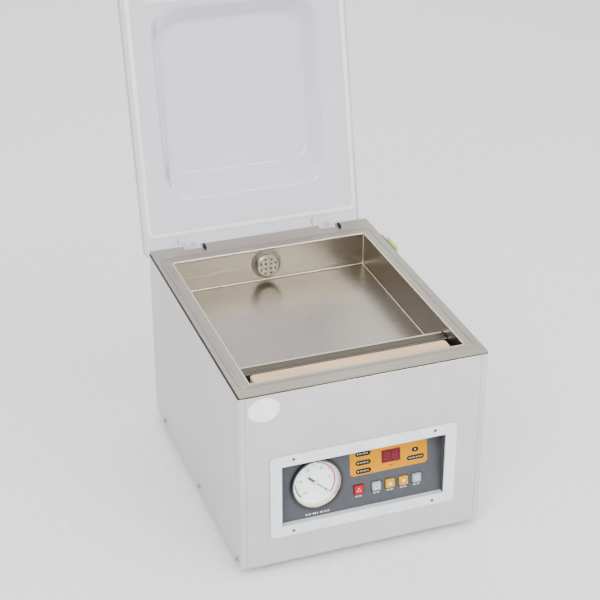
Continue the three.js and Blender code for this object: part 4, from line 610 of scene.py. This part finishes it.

# %% [markdown]
# ## Gauge
# A black ring holds the glass over an inner wall tinted pale as painted highlight, and the dial lies
# at the bottom. The arcs, ticks and numbers are thin printed pieces. They share one function that
# turns a reading from 0 to 10 into an angle, so that the print agrees with the pointer's joint.

# %% Gauge case
RING, RING_WIDE, RING_PROUD, DIAL_BACK = 35, 3.1, 5, 5
inner = RING - RING_WIDE
case = [
    (inner, -DIAL_BACK - 1.2), (inner, RING_PROUD - 1.4),
    (inner + 0.3, RING_PROUD - 0.4), (inner + 0.9, RING_PROUD),
    (RING - 1.3, RING_PROUD), (RING - 0.4, RING_PROUD - 0.4), (RING, RING_PROUD - 1.3), (RING, 0.3),
    (RING - 1.8, 0.3), (RING - 1.8, -24), (RING - 4, -26), (6, -26), (5, -36),
]
gauge_ring = revolve("gauge_ring", GAUGE, case[::-1], 96)
dress(gauge_ring, "housing", black_plastic, ["gauge_case"])
# the liner takes the pale bead steel: painted highlight on the gauge's inner wall
wall = [(0.25, -DIAL_BACK), (0.25, 3.2), (-0.25, 3.2), (-1.6, -DIAL_BACK)]
liner = sweep("gauge_liner", GAUGE, circle(inner - 0.3, 96), wall)
dress(liner, "housing", steel_bead)
glass_profile = [(0, 3.2), (20, 3.1), (inner - 0.6, 2.6), (inner - 0.6, 1.4), (0, 1.4)]
window = revolve("gauge_window", GAUGE, glass_profile[::-1], 96)
dress(window, "housing", gauge_glass, ["gauge_glass"])

# %% [markdown]
# A printed arc is a strip between two radii. Its angle runs along the strip, so it can also get
# wider on the way, as the red one does.

# %% Dial print
ZERO_DEG, SPAN_DEG = -42, 264
INK = -DIAL_BACK + 0.06


def reading_angle(reading):
    """Angle on the dial, in radians, of a reading from 0 to 10."""
    return np.radians(ZERO_DEG + SPAN_DEG * np.asarray(reading) / 10)


def strip(name, start_reading, end_reading, radius, thin, thick, material, steps=48):
    """Arc band: outer radius constant, inner radius falling from `thin` to `thick` below it."""
    turn = reading_angle(np.linspace(start_reading, end_reading, steps))
    width = np.linspace(thin, thick, steps)
    outer = np.stack([np.cos(turn), np.sin(turn)], axis=1) * radius
    inside = np.stack([np.cos(turn), np.sin(turn)], axis=1) * (radius - width)[:, None]
    outline = np.concatenate([outer, inside[::-1]])
    piece = stack(name, GAUGE, [outline, outline], [INK - 0.05, INK + 0.06])
    return dress(piece, "housing", material)


strip("dial_red_arc", 0, 4.8, 27.4, 2.4, 1.0, red_ink)
strip("dial_green_arc", 8.3, 10, 27.4, 1.4, 2.4, green_ink)
for tick in range(51):
    reading = tick / 5
    long_tick = tick % 5 == 0
    turn = reading_angle(reading)
    spoke = np.array([[np.cos(turn), np.sin(turn)], [-np.sin(turn), np.cos(turn)]])
    reach, half = (3.6, 0.28) if long_tick else (1.8, 0.14)
    corners = np.array([[-reach / 2, -half], [reach / 2, -half], [reach / 2, half], [-reach / 2, half]])
    outline = (corners + [26.2 - reach / 2, 0]) @ spoke
    mark = stack(f"dial_tick_{tick}", GAUGE, [outline, outline], [INK - 0.05, INK + 0.1])
    dress(mark, "housing", needle_paint)


def number_on_dial(text, reading, radius, size):
    """A number: a text curve made a mesh, then laid on the dial at a reading and a radius."""
    curve = bpy.data.curves.new(f"dial_number_{text}", "FONT")
    curve.body, curve.size, curve.extrude, curve.offset = text, size * MM, 0.03 * MM, 0.12 * MM
    curve.align_x, curve.align_y = "CENTER", "CENTER"
    flat = bpy.data.objects.new("flat_number", curve)
    bpy.context.scene.collection.objects.link(flat)
    shape = bpy.data.meshes.new_from_object(flat.evaluated_get(bpy.context.evaluated_depsgraph_get()))
    bpy.data.objects.remove(flat)
    turn = reading_angle(reading)
    spot = np.array([radius * np.cos(turn), radius * np.sin(turn), INK + 0.05])
    points = np.array([vertex.co for vertex in shape.vertices]) / MM + spot
    faces = [list(face.vertices) for face in shape.polygons]
    piece = mesh_piece(f"dial_number_{text}", GAUGE, points, faces)
    bpy.data.meshes.remove(shape)
    dress(piece, "housing", needle_paint)


for value in range(0, 11, 2):
    number_on_dial(str(value), value, 19.4, 5.6)

# %% [markdown]
# The pointer is a thin plate: a fine tapered arm, a wide dark tail that balances it, and a hub.

# %% Pointer
turn = reading_angle(0)
spoke = np.array([[np.cos(turn), np.sin(turn)], [-np.sin(turn), np.cos(turn)]])
arm = np.array([[-12.5, -1.5], [-4, -1.5], [-2.5, -0.75], [24, -0.28]])
arm = np.concatenate([arm, arm[::-1] * [1, -1]])
outline = arm @ spoke
pointer = stack("gauge_pointer", GAUGE, [outline, outline], [-3.6, -3.0])
dress(pointer, "gauge_needle", needle_paint, ["gauge_needle"])
hub_profile = [(1.3, -4.8), (1.4, -3.2), (2.5, -3.1), (2.5, -2.2), (1.9, -1.6), (0.6, -1.4)]
hub = revolve("pointer_hub", GAUGE, hub_profile, 40)
dress(hub, "gauge_needle", hub_cream)

# %% [markdown]
# ## Printed panel
# The film's yellow field, the dark pills with their lamps and the rows of small print are slabs
# a tenth of a millimetre thick. Words are left out: short strokes stand where they would be.

# %% Yellow field, pills, print
FILM = 0.12


def film(name, outline, material, level=1):
    """A printed shape on the panel: `level` says how many layers of ink lie under it."""
    piece = slab(name, PANEL, outline, (level - 1) * FILM, level * FILM)
    return dress(piece, "housing", material)


def strokes(name, x, u, width, height, count, material, level):
    """Small print: `count` upright strokes of uneven width and pitch between two sides."""
    share = (np.arange(count) + 0.5) / count + 0.18 * np.sin(np.arange(count) * 2.4) / count
    for i, at in enumerate(share):
        wide = width / count * (0.5 + 0.15 * np.cos(i * 1.7))
        centre = (x - width / 2 + width * at, u)
        film(f"{name}_{i}", rounded(wide, height, min(wide, height) * 0.3, centre, 2), material, level)


field = rounded(106.7, 52, 4.5, (39.35, 24.8))
field[:, 1] = np.minimum(field[:, 1], 44.6)
film("yellow_field", field, yellow_ink)


def outline_print(name, path, material, level):
    """A printed line 0.5 mm wide along a closed path."""
    top, bottom = level * FILM, (level - 1) * FILM
    piece = sweep(name, PANEL, path, [(-0.25, bottom), (0.25, bottom), (0.25, top), (-0.25, top)])
    return dress(piece, "housing", material)


for number, u in enumerate([28.9, 16.2, 4.4]):
    film(f"mode_pill_{number}", rounded(21, 7, 3.4, (4, u)), dark_ink, 2)
    outline_print(f"mode_line_{number}", rounded(21.4, 7.4, 3.6, (4, u)), yellow_ink, 3)
    film(f"mode_lamp_{number}", circle(0.9, 20, (-3.2, u)), pale_ink, 3)
    strokes(f"mode_word_{number}", 5.2, u, 12.5, 2.0, 8, print_grey, 3)
film("pump_pill", rounded(9, 6.5, 3.2, (76, 20)), dark_ink, 2)
film("pump_lamp", circle(1.0, 20, (76, 20)), pale_ink, 3)
film("seal_pill", rounded(24, 6.5, 3.2, (76.3, 9)), dark_ink, 2)
strokes("seal_word", 76.3, 9, 19, 2.0, 12, print_grey, 3)
strokes("display_word", 42.3, 5.2, 8, 1.4, 4, dark_ink, 2)
strokes("gauge_word", GAUGE_X, -41.3, 34, 2.4, 11, pale_ink, 1)

# %% [markdown]
# The display is a dark red filter. Two figures of seven segments each show faintly behind it, as
# unlit segments do.

# %% Display
DISPLAY_X, DISPLAY_U, DISPLAY_W, DISPLAY_H = 42.3, 18.5, 26, 18
rings = [rounded(DISPLAY_W - i, DISPLAY_H - i, 1.2, (DISPLAY_X, DISPLAY_U), 4) for i in (0, 0, 0.5)]
filter_piece = stack("display_filter", PANEL, rings, [-3, 0.4, 0.6])
dress(filter_piece, "housing", red_filter, ["display_lens"])
for digit in range(2):
    x = DISPLAY_X - 5.5 + 11 * digit
    bars = [(0, 5), (0, 0), (0, -5), (-2.6, 2.5), (2.6, 2.5), (-2.6, -2.5), (2.6, -2.5)]
    for number, (dx, du) in enumerate(bars):
        size = (4.2, 0.9) if dx == 0 else (0.9, 4.2)
        shape = rounded(*size, 0.4, (x + dx, DISPLAY_U + du), 3)
        bar = slab(f"display_segment_{digit}_{number}", PANEL, shape, 0.5, 0.64)
        dress(bar, "housing", segment_red)

# %% [markdown]
# ## Buttons
# Each cap is a stack of rounded squares that get smaller over a soft edge, with a shallow dish on
# top. The symbols are plain shapes: a square for stop, a frame for setting, arrows and a ring.

# %% Buttons
BUTTON, BUTTON_U = 12.4, -20.6
button_looks = {
    "stop": (-3.6, red_plastic, "red_button"),
    "set": (20.9, grey_plastic, "grey_button"),
    "increase": (39.7, yellow_plastic, "yellow_button"),
    "decrease": (58.3, yellow_plastic, "yellow_button"),
    "enter": (76.9, grey_plastic, "grey_button"),
}


def arrow(x, u, sign, size=1.0):
    """Triangle that points up (sign 1) or down (-1)."""
    shape = np.array([[-2.7, -1.7], [2.7, -1.7], [0, 2.5]], float) * size
    shape[:, 1] *= sign
    if sign < 0:
        shape = shape[::-1]
    return shape + (x, u)


for name, (x, look, slot) in button_looks.items():
    inset = np.array([0, 0, 0.15, 0.5, 1.1, 2.2])
    heights = [-4.5, 1.5, 2.0, 2.3, 2.4, 2.3]
    rings = [
        rounded(BUTTON - 2 * i, BUTTON - 2 * i, max(1.4 - i * 0.3, 0.4), (x, BUTTON_U), 6)
        for i in inset
    ]
    cap = stack(f"button_cap_{name}", PANEL, rings, heights, sharp=60)
    dress(cap, f"button_{name}", look, [f"button_{name}"])
    collar = sweep(f"button_collar_{name}", PANEL, rounded(14.4, 14.4, 1.8, (x, BUTTON_U), 6),
                   [(-0.4, 0.02), (0.3, 0.02), (0.3, 0.35), (-0.4, 0.35)])
    dress(collar, "housing", black_plastic)
    strokes(f"button_word_{name}", x, BUTTON_U - 9.6, 9.5, 1.9, 6, pale_ink, 1)
    if name in ("increase", "decrease"):
        shapes = [arrow(x, BUTTON_U, 1 if name == "increase" else -1)]
    else:
        shapes = []
    for number, shape in enumerate(shapes):
        mark = slab(f"button_mark_{name}_{number}", PANEL, shape, 2.2, 2.42)
        dress(mark, f"button_{name}", white_ink)
    paths = {"set": rounded(6, 6, 0.6, (x, BUTTON_U), 3), "enter": circle(2.6, 32, (x, BUTTON_U))}
    paths["stop"] = arrow(x, BUTTON_U, 1, 1.15)
    if name in paths:
        path = paths[name]
        mark_section = [(-0.35, 2.2), (0.35, 2.2), (0.35, 2.42), (-0.35, 2.42)]
        mark = sweep(f"button_mark_{name}", PANEL, path, mark_section)
        dress(mark, f"button_{name}", white_ink)

# %% [markdown]
# ## Screws
# The bezel has four small countersunk screws, and each side panel three pan-head screws near the
# bottom. A cross slot is two crossed dark bars laid on the head, painted shade for the recess.

# %% Screws
FRONT_FACE = (np.array([MIDDLE[0], FRONT, 0]), directions(X, Z, -Y))
LEFT_FACE = (np.array([LEFT, MIDDLE[1], 0]), directions(-Y, Z, -X))
RIGHT_FACE = (np.array([RIGHT, MIDDLE[1], 0]), directions(Y, Z, X))
BEZEL_Z = (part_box("control_bezel")[0][2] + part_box("control_bezel")[1][2]) / 2 / MM


def cross_screw(name, place, radius, proud, material):
    """Pan-head screw: a low dome turned about z, and a cross slot in its top drawn as two dark bars, painted shade
    for the recess.
    """
    share = np.linspace(0, np.pi / 2, 7)
    dome = [(radius * np.cos(a), proud * np.sin(a)) for a in share]
    piece = revolve(name, place, [(radius, -1.2), *dome[:-1], (radius * 0.12, proud)], 40)
    dress(piece, "housing", material)
    # the slot bars are black: painted shade standing for the cross recess
    for number, (wide, tall) in enumerate([(1.1, 0.28), (0.28, 1.1)]):
        shape = rounded(radius * wide, radius * tall, radius * 0.05, corner=2)
        slot = slab(f"{name}_slot_{number}", place, shape, proud * 0.7, proud + 0.03)
        dress(slot, "housing", black_plastic)


for number, (x, z) in enumerate([(-95.5, -54), (95.5, -54), (-95.5, 54), (95.5, 54)]):
    place = moved(FRONT_FACE, x, BEZEL_Z + z, 2.5)
    cross_screw(f"bezel_screw_{number}", place, 2.3, 0.5, heater)
for number, y in enumerate([14.5, 185.4, 412 - 52.5]):
    place = moved(LEFT_FACE, 206 - y, BASE + 8)
    cross_screw(f"left_screw_{number}", place, 4.2, 2.4, zinc)
    place = moved(RIGHT_FACE, y - 206, BASE + 8)
    cross_screw(f"right_screw_{number}", place, 4.2, 2.4, zinc)

# %% [markdown]
# ## Small things on the housing
# A blank oval label stands at the front's upper left corner, where the maker's approval mark
# would be. The chamber's corners are welded, and each weld is a thin bead. The sheet's rolled
# edge round the chamber gets a bead too. These beads are tinted far paler than the chamber
# steel, and that pale tint is painted highlight.

# %% Label and beads
tall = np.linspace(0, 2 * np.pi, 64, endpoint=False)
oval = np.stack([-132.6 + 20.5 * np.cos(tall), 244 + 16.5 * np.sin(tall)], axis=1)
label = slab("blank_label", FRONT_FACE, oval, 0.02, 0.25, 0.1)
dress(label, "housing", label_white)

CHAMBER_X, CHAMBER_Y0, CHAMBER_Y1 = 143, -182, 161
TRAY_X, TRAY_Y0, TRAY_Y1, TRAY_Z = 141.6, -113.4, 160.2, 220
edge_angle = np.linspace(0, 2 * np.pi, 12, endpoint=False)


def bead_round(name, width, y0, y1, corner, radius, z, material):
    """A round bead of `radius` laid along a rounded rectangle from y0 to y1, at height z."""
    ring = np.stack([radius * np.cos(edge_angle), radius * np.sin(edge_angle) + z], axis=1)
    path = rounded(width, y1 - y0, corner, (0, (y0 + y1) / 2), 4)
    return dress(sweep(name, HOUSING, path, ring), "housing", material)


# hem, tray weld and corner welds take the pale bead steel: their tint is painted highlight
bead_round(
    "chamber_hem", 2 * CHAMBER_X, CHAMBER_Y0, CHAMBER_Y1,
    2.5, 1.2, RIM_TOP - 0.7, steel_bead,
)
bead_round("tray_weld", 2 * TRAY_X, TRAY_Y0, TRAY_Y1, 1.5, 1.15, TRAY_Z + 0.3, steel_bead)
for number, (x, y) in enumerate([(-1, 0), (1, 0), (-1, 1), (1, 1)]):
    spot = moved(HOUSING, x * (CHAMBER_X - 0.5), (CHAMBER_Y1 - 0.5) if y else (CHAMBER_Y0 + 0.5))
    bulge = [(1.1, 202), (1.1, 218), (2.0, 219.5), (2.9, 222), (2.4, 224.6), (1.2, 227), (1.1, RIM_TOP - 1)]
    weld = revolve(f"corner_weld_{number}", spot, bulge, 20)
    dress(weld, "housing", steel_bead)

# %% [markdown]
# The rim plate rests on the housing, and under it the panels' tops are rolled over. A black bead
# in the gap under the rim is painted shade for that gap, and a pale bead on the rolled tops is
# painted highlight. Both run along the front and the two sides, a narrow dark line and a bright
# one. The back is left free, because the hinge arms swing down there.

# %% Rim strip and rolled top
PANEL_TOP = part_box("left_side_panel")[1][2] / MM
WIDTH, DEPTH = RIGHT - LEFT, BACK - FRONT
# a black bead in the gap under the rim is painted shade; a pale bead on the rolled top is painted highlight
lines = [
    ("rim_strip", 0.0, 0.55, PANEL_TOP + 0.5, black_rubber),
    ("rolled_top", -0.2, 0.6, PANEL_TOP - 0.9, steel_bead),
]


def open_bead(name, path, radius, z, material):
    """A round bead along an open path: point (i, j) is path point i moved by a circle's point j."""
    path = np.asarray(path, float)
    ahead = np.gradient(path, axis=0)
    normal = np.stack([ahead[:, 1], -ahead[:, 0]], axis=1)
    normal /= np.linalg.norm(normal, axis=1, keepdims=True)
    grid = np.zeros((len(path), len(edge_angle), 3))
    grid[..., :2] = path[:, None] + radius * np.cos(edge_angle)[None, :, None] * normal[:, None]
    grid[..., 2] = z + radius * np.sin(edge_angle)
    faces = quads(*grid.shape[:2])
    faces.append(list(range(grid.shape[1]))[::-1])
    faces.append(list(range((len(path) - 1) * grid.shape[1], grid.shape[0] * grid.shape[1])))
    piece = mesh_piece(name, HOUSING, grid, [face[::-1] for face in faces])
    return dress(piece, "housing", material)


for name, out, radius, z, material in lines:
    loop = rounded(WIDTH + 2 * out, DEPTH + 2 * out, 2, corner=4)
    front_corners = loop[10:20]  # the two quarter circles at the front
    ends = np.array([[-WIDTH / 2 - out, DEPTH / 2 - 2], [WIDTH / 2 + out, DEPTH / 2 - 2]])
    open_bead(name, np.concatenate([ends[:1], front_corners, ends[1:]]), radius, z, material)

# %% [markdown]
# The tray's front lip carries a ribbed strip. Its section is a row of five low round ribs, and
# the strip is that section drawn out from one chamber wall to the other. The strip's dark tint is
# painted shade, and the single rib along its back edge is tinted pale as painted highlight.

# %% Ribbed strip
LIP_BACK, LIP_FRONT, LIP_TOP = -114.4, -130.6, 251.5


def ribbed(name, x0, x1, y0, y1, z, ribs, height, material):
    """Point (i, j): x runs from x0 to x1, y from y0 to y1, z is a row of half-sine ribs."""
    share = np.linspace(0, 1, ribs * 8 + 1)
    wave = np.abs(np.sin(np.pi * ribs * share))
    top = np.stack([y0 + (y1 - y0) * share, z + 0.25 + height * wave], axis=1)
    ring = np.concatenate([[[y0, z]], top, [[y1, z]]])
    grid = np.zeros((2, len(ring), 3))
    grid[0, :, 0], grid[1, :, 0] = x0, x1
    grid[..., 1:] = ring
    faces = quads(2, len(ring))
    faces.append(list(range(len(ring)))[::-1])
    faces.append(list(range(len(ring), 2 * len(ring))))
    piece = mesh_piece(name, HOUSING, grid, [face[::-1] for face in faces])
    return dress(piece, "housing", material)


LIP_X = CHAMBER_X - 1.6
# dark ribbed strip: painted shade; pale rib at its back edge: painted highlight
ribbed("lip_shade_strip", -LIP_X, LIP_X, LIP_BACK - 2.2, LIP_FRONT, LIP_TOP, 4, 0.9, steel_dark)
ribbed("lip_highlight_edge", -LIP_X, LIP_X, LIP_BACK, LIP_BACK - 2.2, LIP_TOP, 1, 1.0, steel_bead)

# %% [markdown]
# The tape wraps the whole seal bar and its rounded ends. It is a stack of rounded rectangles
# that shrink over the upper edge along a quarter circle.

# %% Seal tape
BAR_Y, TAPE_TOP, TAPE_ROUND = -161, 260, 1.8
share = np.linspace(0, np.pi / 2, 7)
shrink = np.concatenate([[0, 0], TAPE_ROUND * (1 - np.cos(share[1:]))])
tape_shoulder = TAPE_TOP - TAPE_ROUND
heights = np.concatenate([[250.6, tape_shoulder], tape_shoulder + TAPE_ROUND * np.sin(share[1:])])
outlines = [rounded(264 - 2 * i, 27 - 2 * i, 5 - i, (0, BAR_Y), 6) for i in shrink]
wrap = stack("seal_tape_wrap", HOUSING, outlines, heights, sharp=60)
dress(wrap, "seal_bar", tape, ["seal_tape"])

# %% [markdown]
# The power switch stands high on the right side: a black flange round a lit green rocker that
# turns about an upright line. The rocker is its side view drawn upwards. The underside of its
# rear half slopes, so that it lies flat on the flange when the rocker is pressed.

# %% Power switch
SWITCH_Y, SWITCH_Z, FLANGE_TOP = 125, 253.5, 2.35
SWITCH = (HOUSING[0] + [RIGHT - MIDDLE[0], SWITCH_Y, SWITCH_Z], directions(Y, Z, X))
inset = np.array([0, 0, 0.25, 0.8])
outlines = [rounded(56 - 2 * i, 29 - 2 * i, 3, corner=6) for i in inset]
flange = stack("switch_flange", SWITCH, outlines, [0.05, 1.5, 2.0, FLANGE_TOP], sharp=60)
dress(flange, "housing", black_plastic)

rocker_axis = np.array(joints["power_rocker_tilt"]["pos_m"]) / MM
swing = np.radians(joints["power_rocker_tilt"]["range_deg"][1])
HALF, ROCKER_TOP, ROCKER_GAP = 20, 8.4, 0.25
y = np.linspace(HALF, 0, 9)
pivot_height = rocker_axis[0] - RIGHT
pivot_y = rocker_axis[1] - (HOUSING[0][1] + SWITCH_Y)
rest_height = FLANGE_TOP + ROCKER_GAP - pivot_height
# the rear half's underside is where the flange is once the rocker has turned through its range
under = (rest_height + (y - pivot_y) * np.sin(swing)) / np.cos(swing) + pivot_height
under = np.maximum(under, FLANGE_TOP + ROCKER_GAP)
rear = np.stack([-y, under], axis=1)
front = [[HALF, FLANGE_TOP + ROCKER_GAP], [HALF, ROCKER_TOP - 1.6], [HALF - 0.4, ROCKER_TOP - 0.5]]
back_edge = [[HALF - 1.6, ROCKER_TOP], [-HALF + 1.0, ROCKER_TOP], [-HALF, ROCKER_TOP - 0.3]]
side = np.concatenate([rear, front, back_edge])
SWITCH_EDGE = (SWITCH[0], directions(-Y, X, Z))
middle = side.mean(axis=0)
outlines = [middle + (side - middle) * share for share in (0.95, 1, 1, 0.95)]
lowest_point = FLANGE_TOP + ROCKER_GAP
outlines = [np.stack([o[:, 0], np.maximum(o[:, 1], lowest_point)], axis=1) for o in outlines]
outlines[0][:, 1], outlines[3][:, 1] = side[:, 1], side[:, 1]
rocker = stack("rocker_cap", SWITCH_EDGE, outlines, [-12.5, -11.6, 12.1, 13])
dress(rocker, "power_rocker", rocker_green, ["power_rocker"])

# %% [markdown]
# ## Feet
# Rubber feet are turned: a tapered drum with a soft lower edge.

# %% Feet
foot = [(5, 0.0), (10.6, 0.0), (11.8, 0.3), (12.5, 1.0), (14, 10.4), (14, 10.7), (2, 10.7)]
for name in ("front_left", "front_right", "rear_left", "rear_right"):
    corners = [np.array(corner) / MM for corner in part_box(f"foot_{name}")]
    spot = (np.array([*((corners[0] + corners[1]) / 2)[:2], 0]), HOUSING[1])
    piece = revolve(f"rubber_foot_{name}", spot, foot, 48)
    dress(piece, "housing", black_rubber, [f"foot_{name}"])

# %% [markdown]
# ## Camera, floor and light
# The camera looks down from the front left with a long lens. The floor is a plain pale sheet,
# and the light is soft: a bright sky all round, a large panel over the left shoulder, and a
# weaker one on the right.

# %% Camera
AZIMUTH, ELEVATION, ROLL = np.radians([-20.39, 28.24, 0.33])
TARGET = HOUSING[0] + [10.04, 0, 267.94]
DISTANCE = 2082.8
back = np.array([
    np.sin(AZIMUTH) * np.cos(ELEVATION),
    -np.cos(AZIMUTH) * np.cos(ELEVATION),
    np.sin(ELEVATION),
])
across = np.cross(-back, Z)
across /= np.linalg.norm(across)
upright = np.cross(back, across)
right = np.cos(ROLL) * across + np.sin(ROLL) * upright
above = -np.sin(ROLL) * across + np.cos(ROLL) * upright
lens = bpy.data.cameras.new("camera")
lens.sensor_width, lens.lens = 36, 93.67
lens.shift_x, lens.shift_y = -0.0266, -0.0038
camera = bpy.data.objects.new("camera", lens)
spot = (TARGET + DISTANCE * back) * MM
turned = np.eye(4)
turned[:3, 0], turned[:3, 1], turned[:3, 2], turned[:3, 3] = right, above, back, spot
camera.matrix_world = Matrix(turned.tolist())
bpy.context.scene.collection.objects.link(camera)
bpy.context.scene.camera = camera
print("camera at", spot.round(3))

# %% Floor and light
floor_material = moulded("pale_floor", "#F3F3F4", rough=0.6, grain=4.0, relief=0.02)
floor = slab("floor", HOUSING, rounded(12000, 12000, 10, corner=2), -20, -0.2)
floor.data.materials.append(floor_material)

world = bpy.data.worlds.new("studio")
bpy.context.scene.world = world
world.use_nodes = True
world.node_tree.nodes["Background"].inputs["Color"].default_value = (0.95, 0.96, 1.0, 1)
world.node_tree.nodes["Background"].inputs["Strength"].default_value = 1.4


def lamp(name, place, aim, size, power, height=None):
    """A soft rectangular light, `size` by `height` m, at a place in metres, aimed at a point."""
    data = bpy.data.lights.new(name, "AREA")
    data.shape = "RECTANGLE"
    data.energy, data.size, data.size_y = power, size, height or size
    item = bpy.data.objects.new(name, data)
    away = np.array(place, float) - np.array(aim, float)
    away /= np.linalg.norm(away)
    side = np.cross(Z, away)
    side /= np.linalg.norm(side)
    turned = np.eye(4)
    turned[:3, 0], turned[:3, 1], turned[:3, 2], turned[:3, 3] = side, np.cross(away, side), away, place
    item.matrix_world = Matrix(turned.tolist())
    bpy.context.scene.collection.objects.link(item)


aim = HOUSING[0] * MM + [0, 0, 0.2]
lamp("key", [-1.8, -2.2, 2.6], aim, 2.0, 100)
lamp("fill", [2.4, -1.8, 1.6], aim, 2.0, 30)
lamp("back", [0.4, 2.2, 2.4], aim, 2.0, 25)
lamp("strip", [0.95, -2.5, 1.36], [0, 0.2, 0.42], 1.2, 45, 0.14)
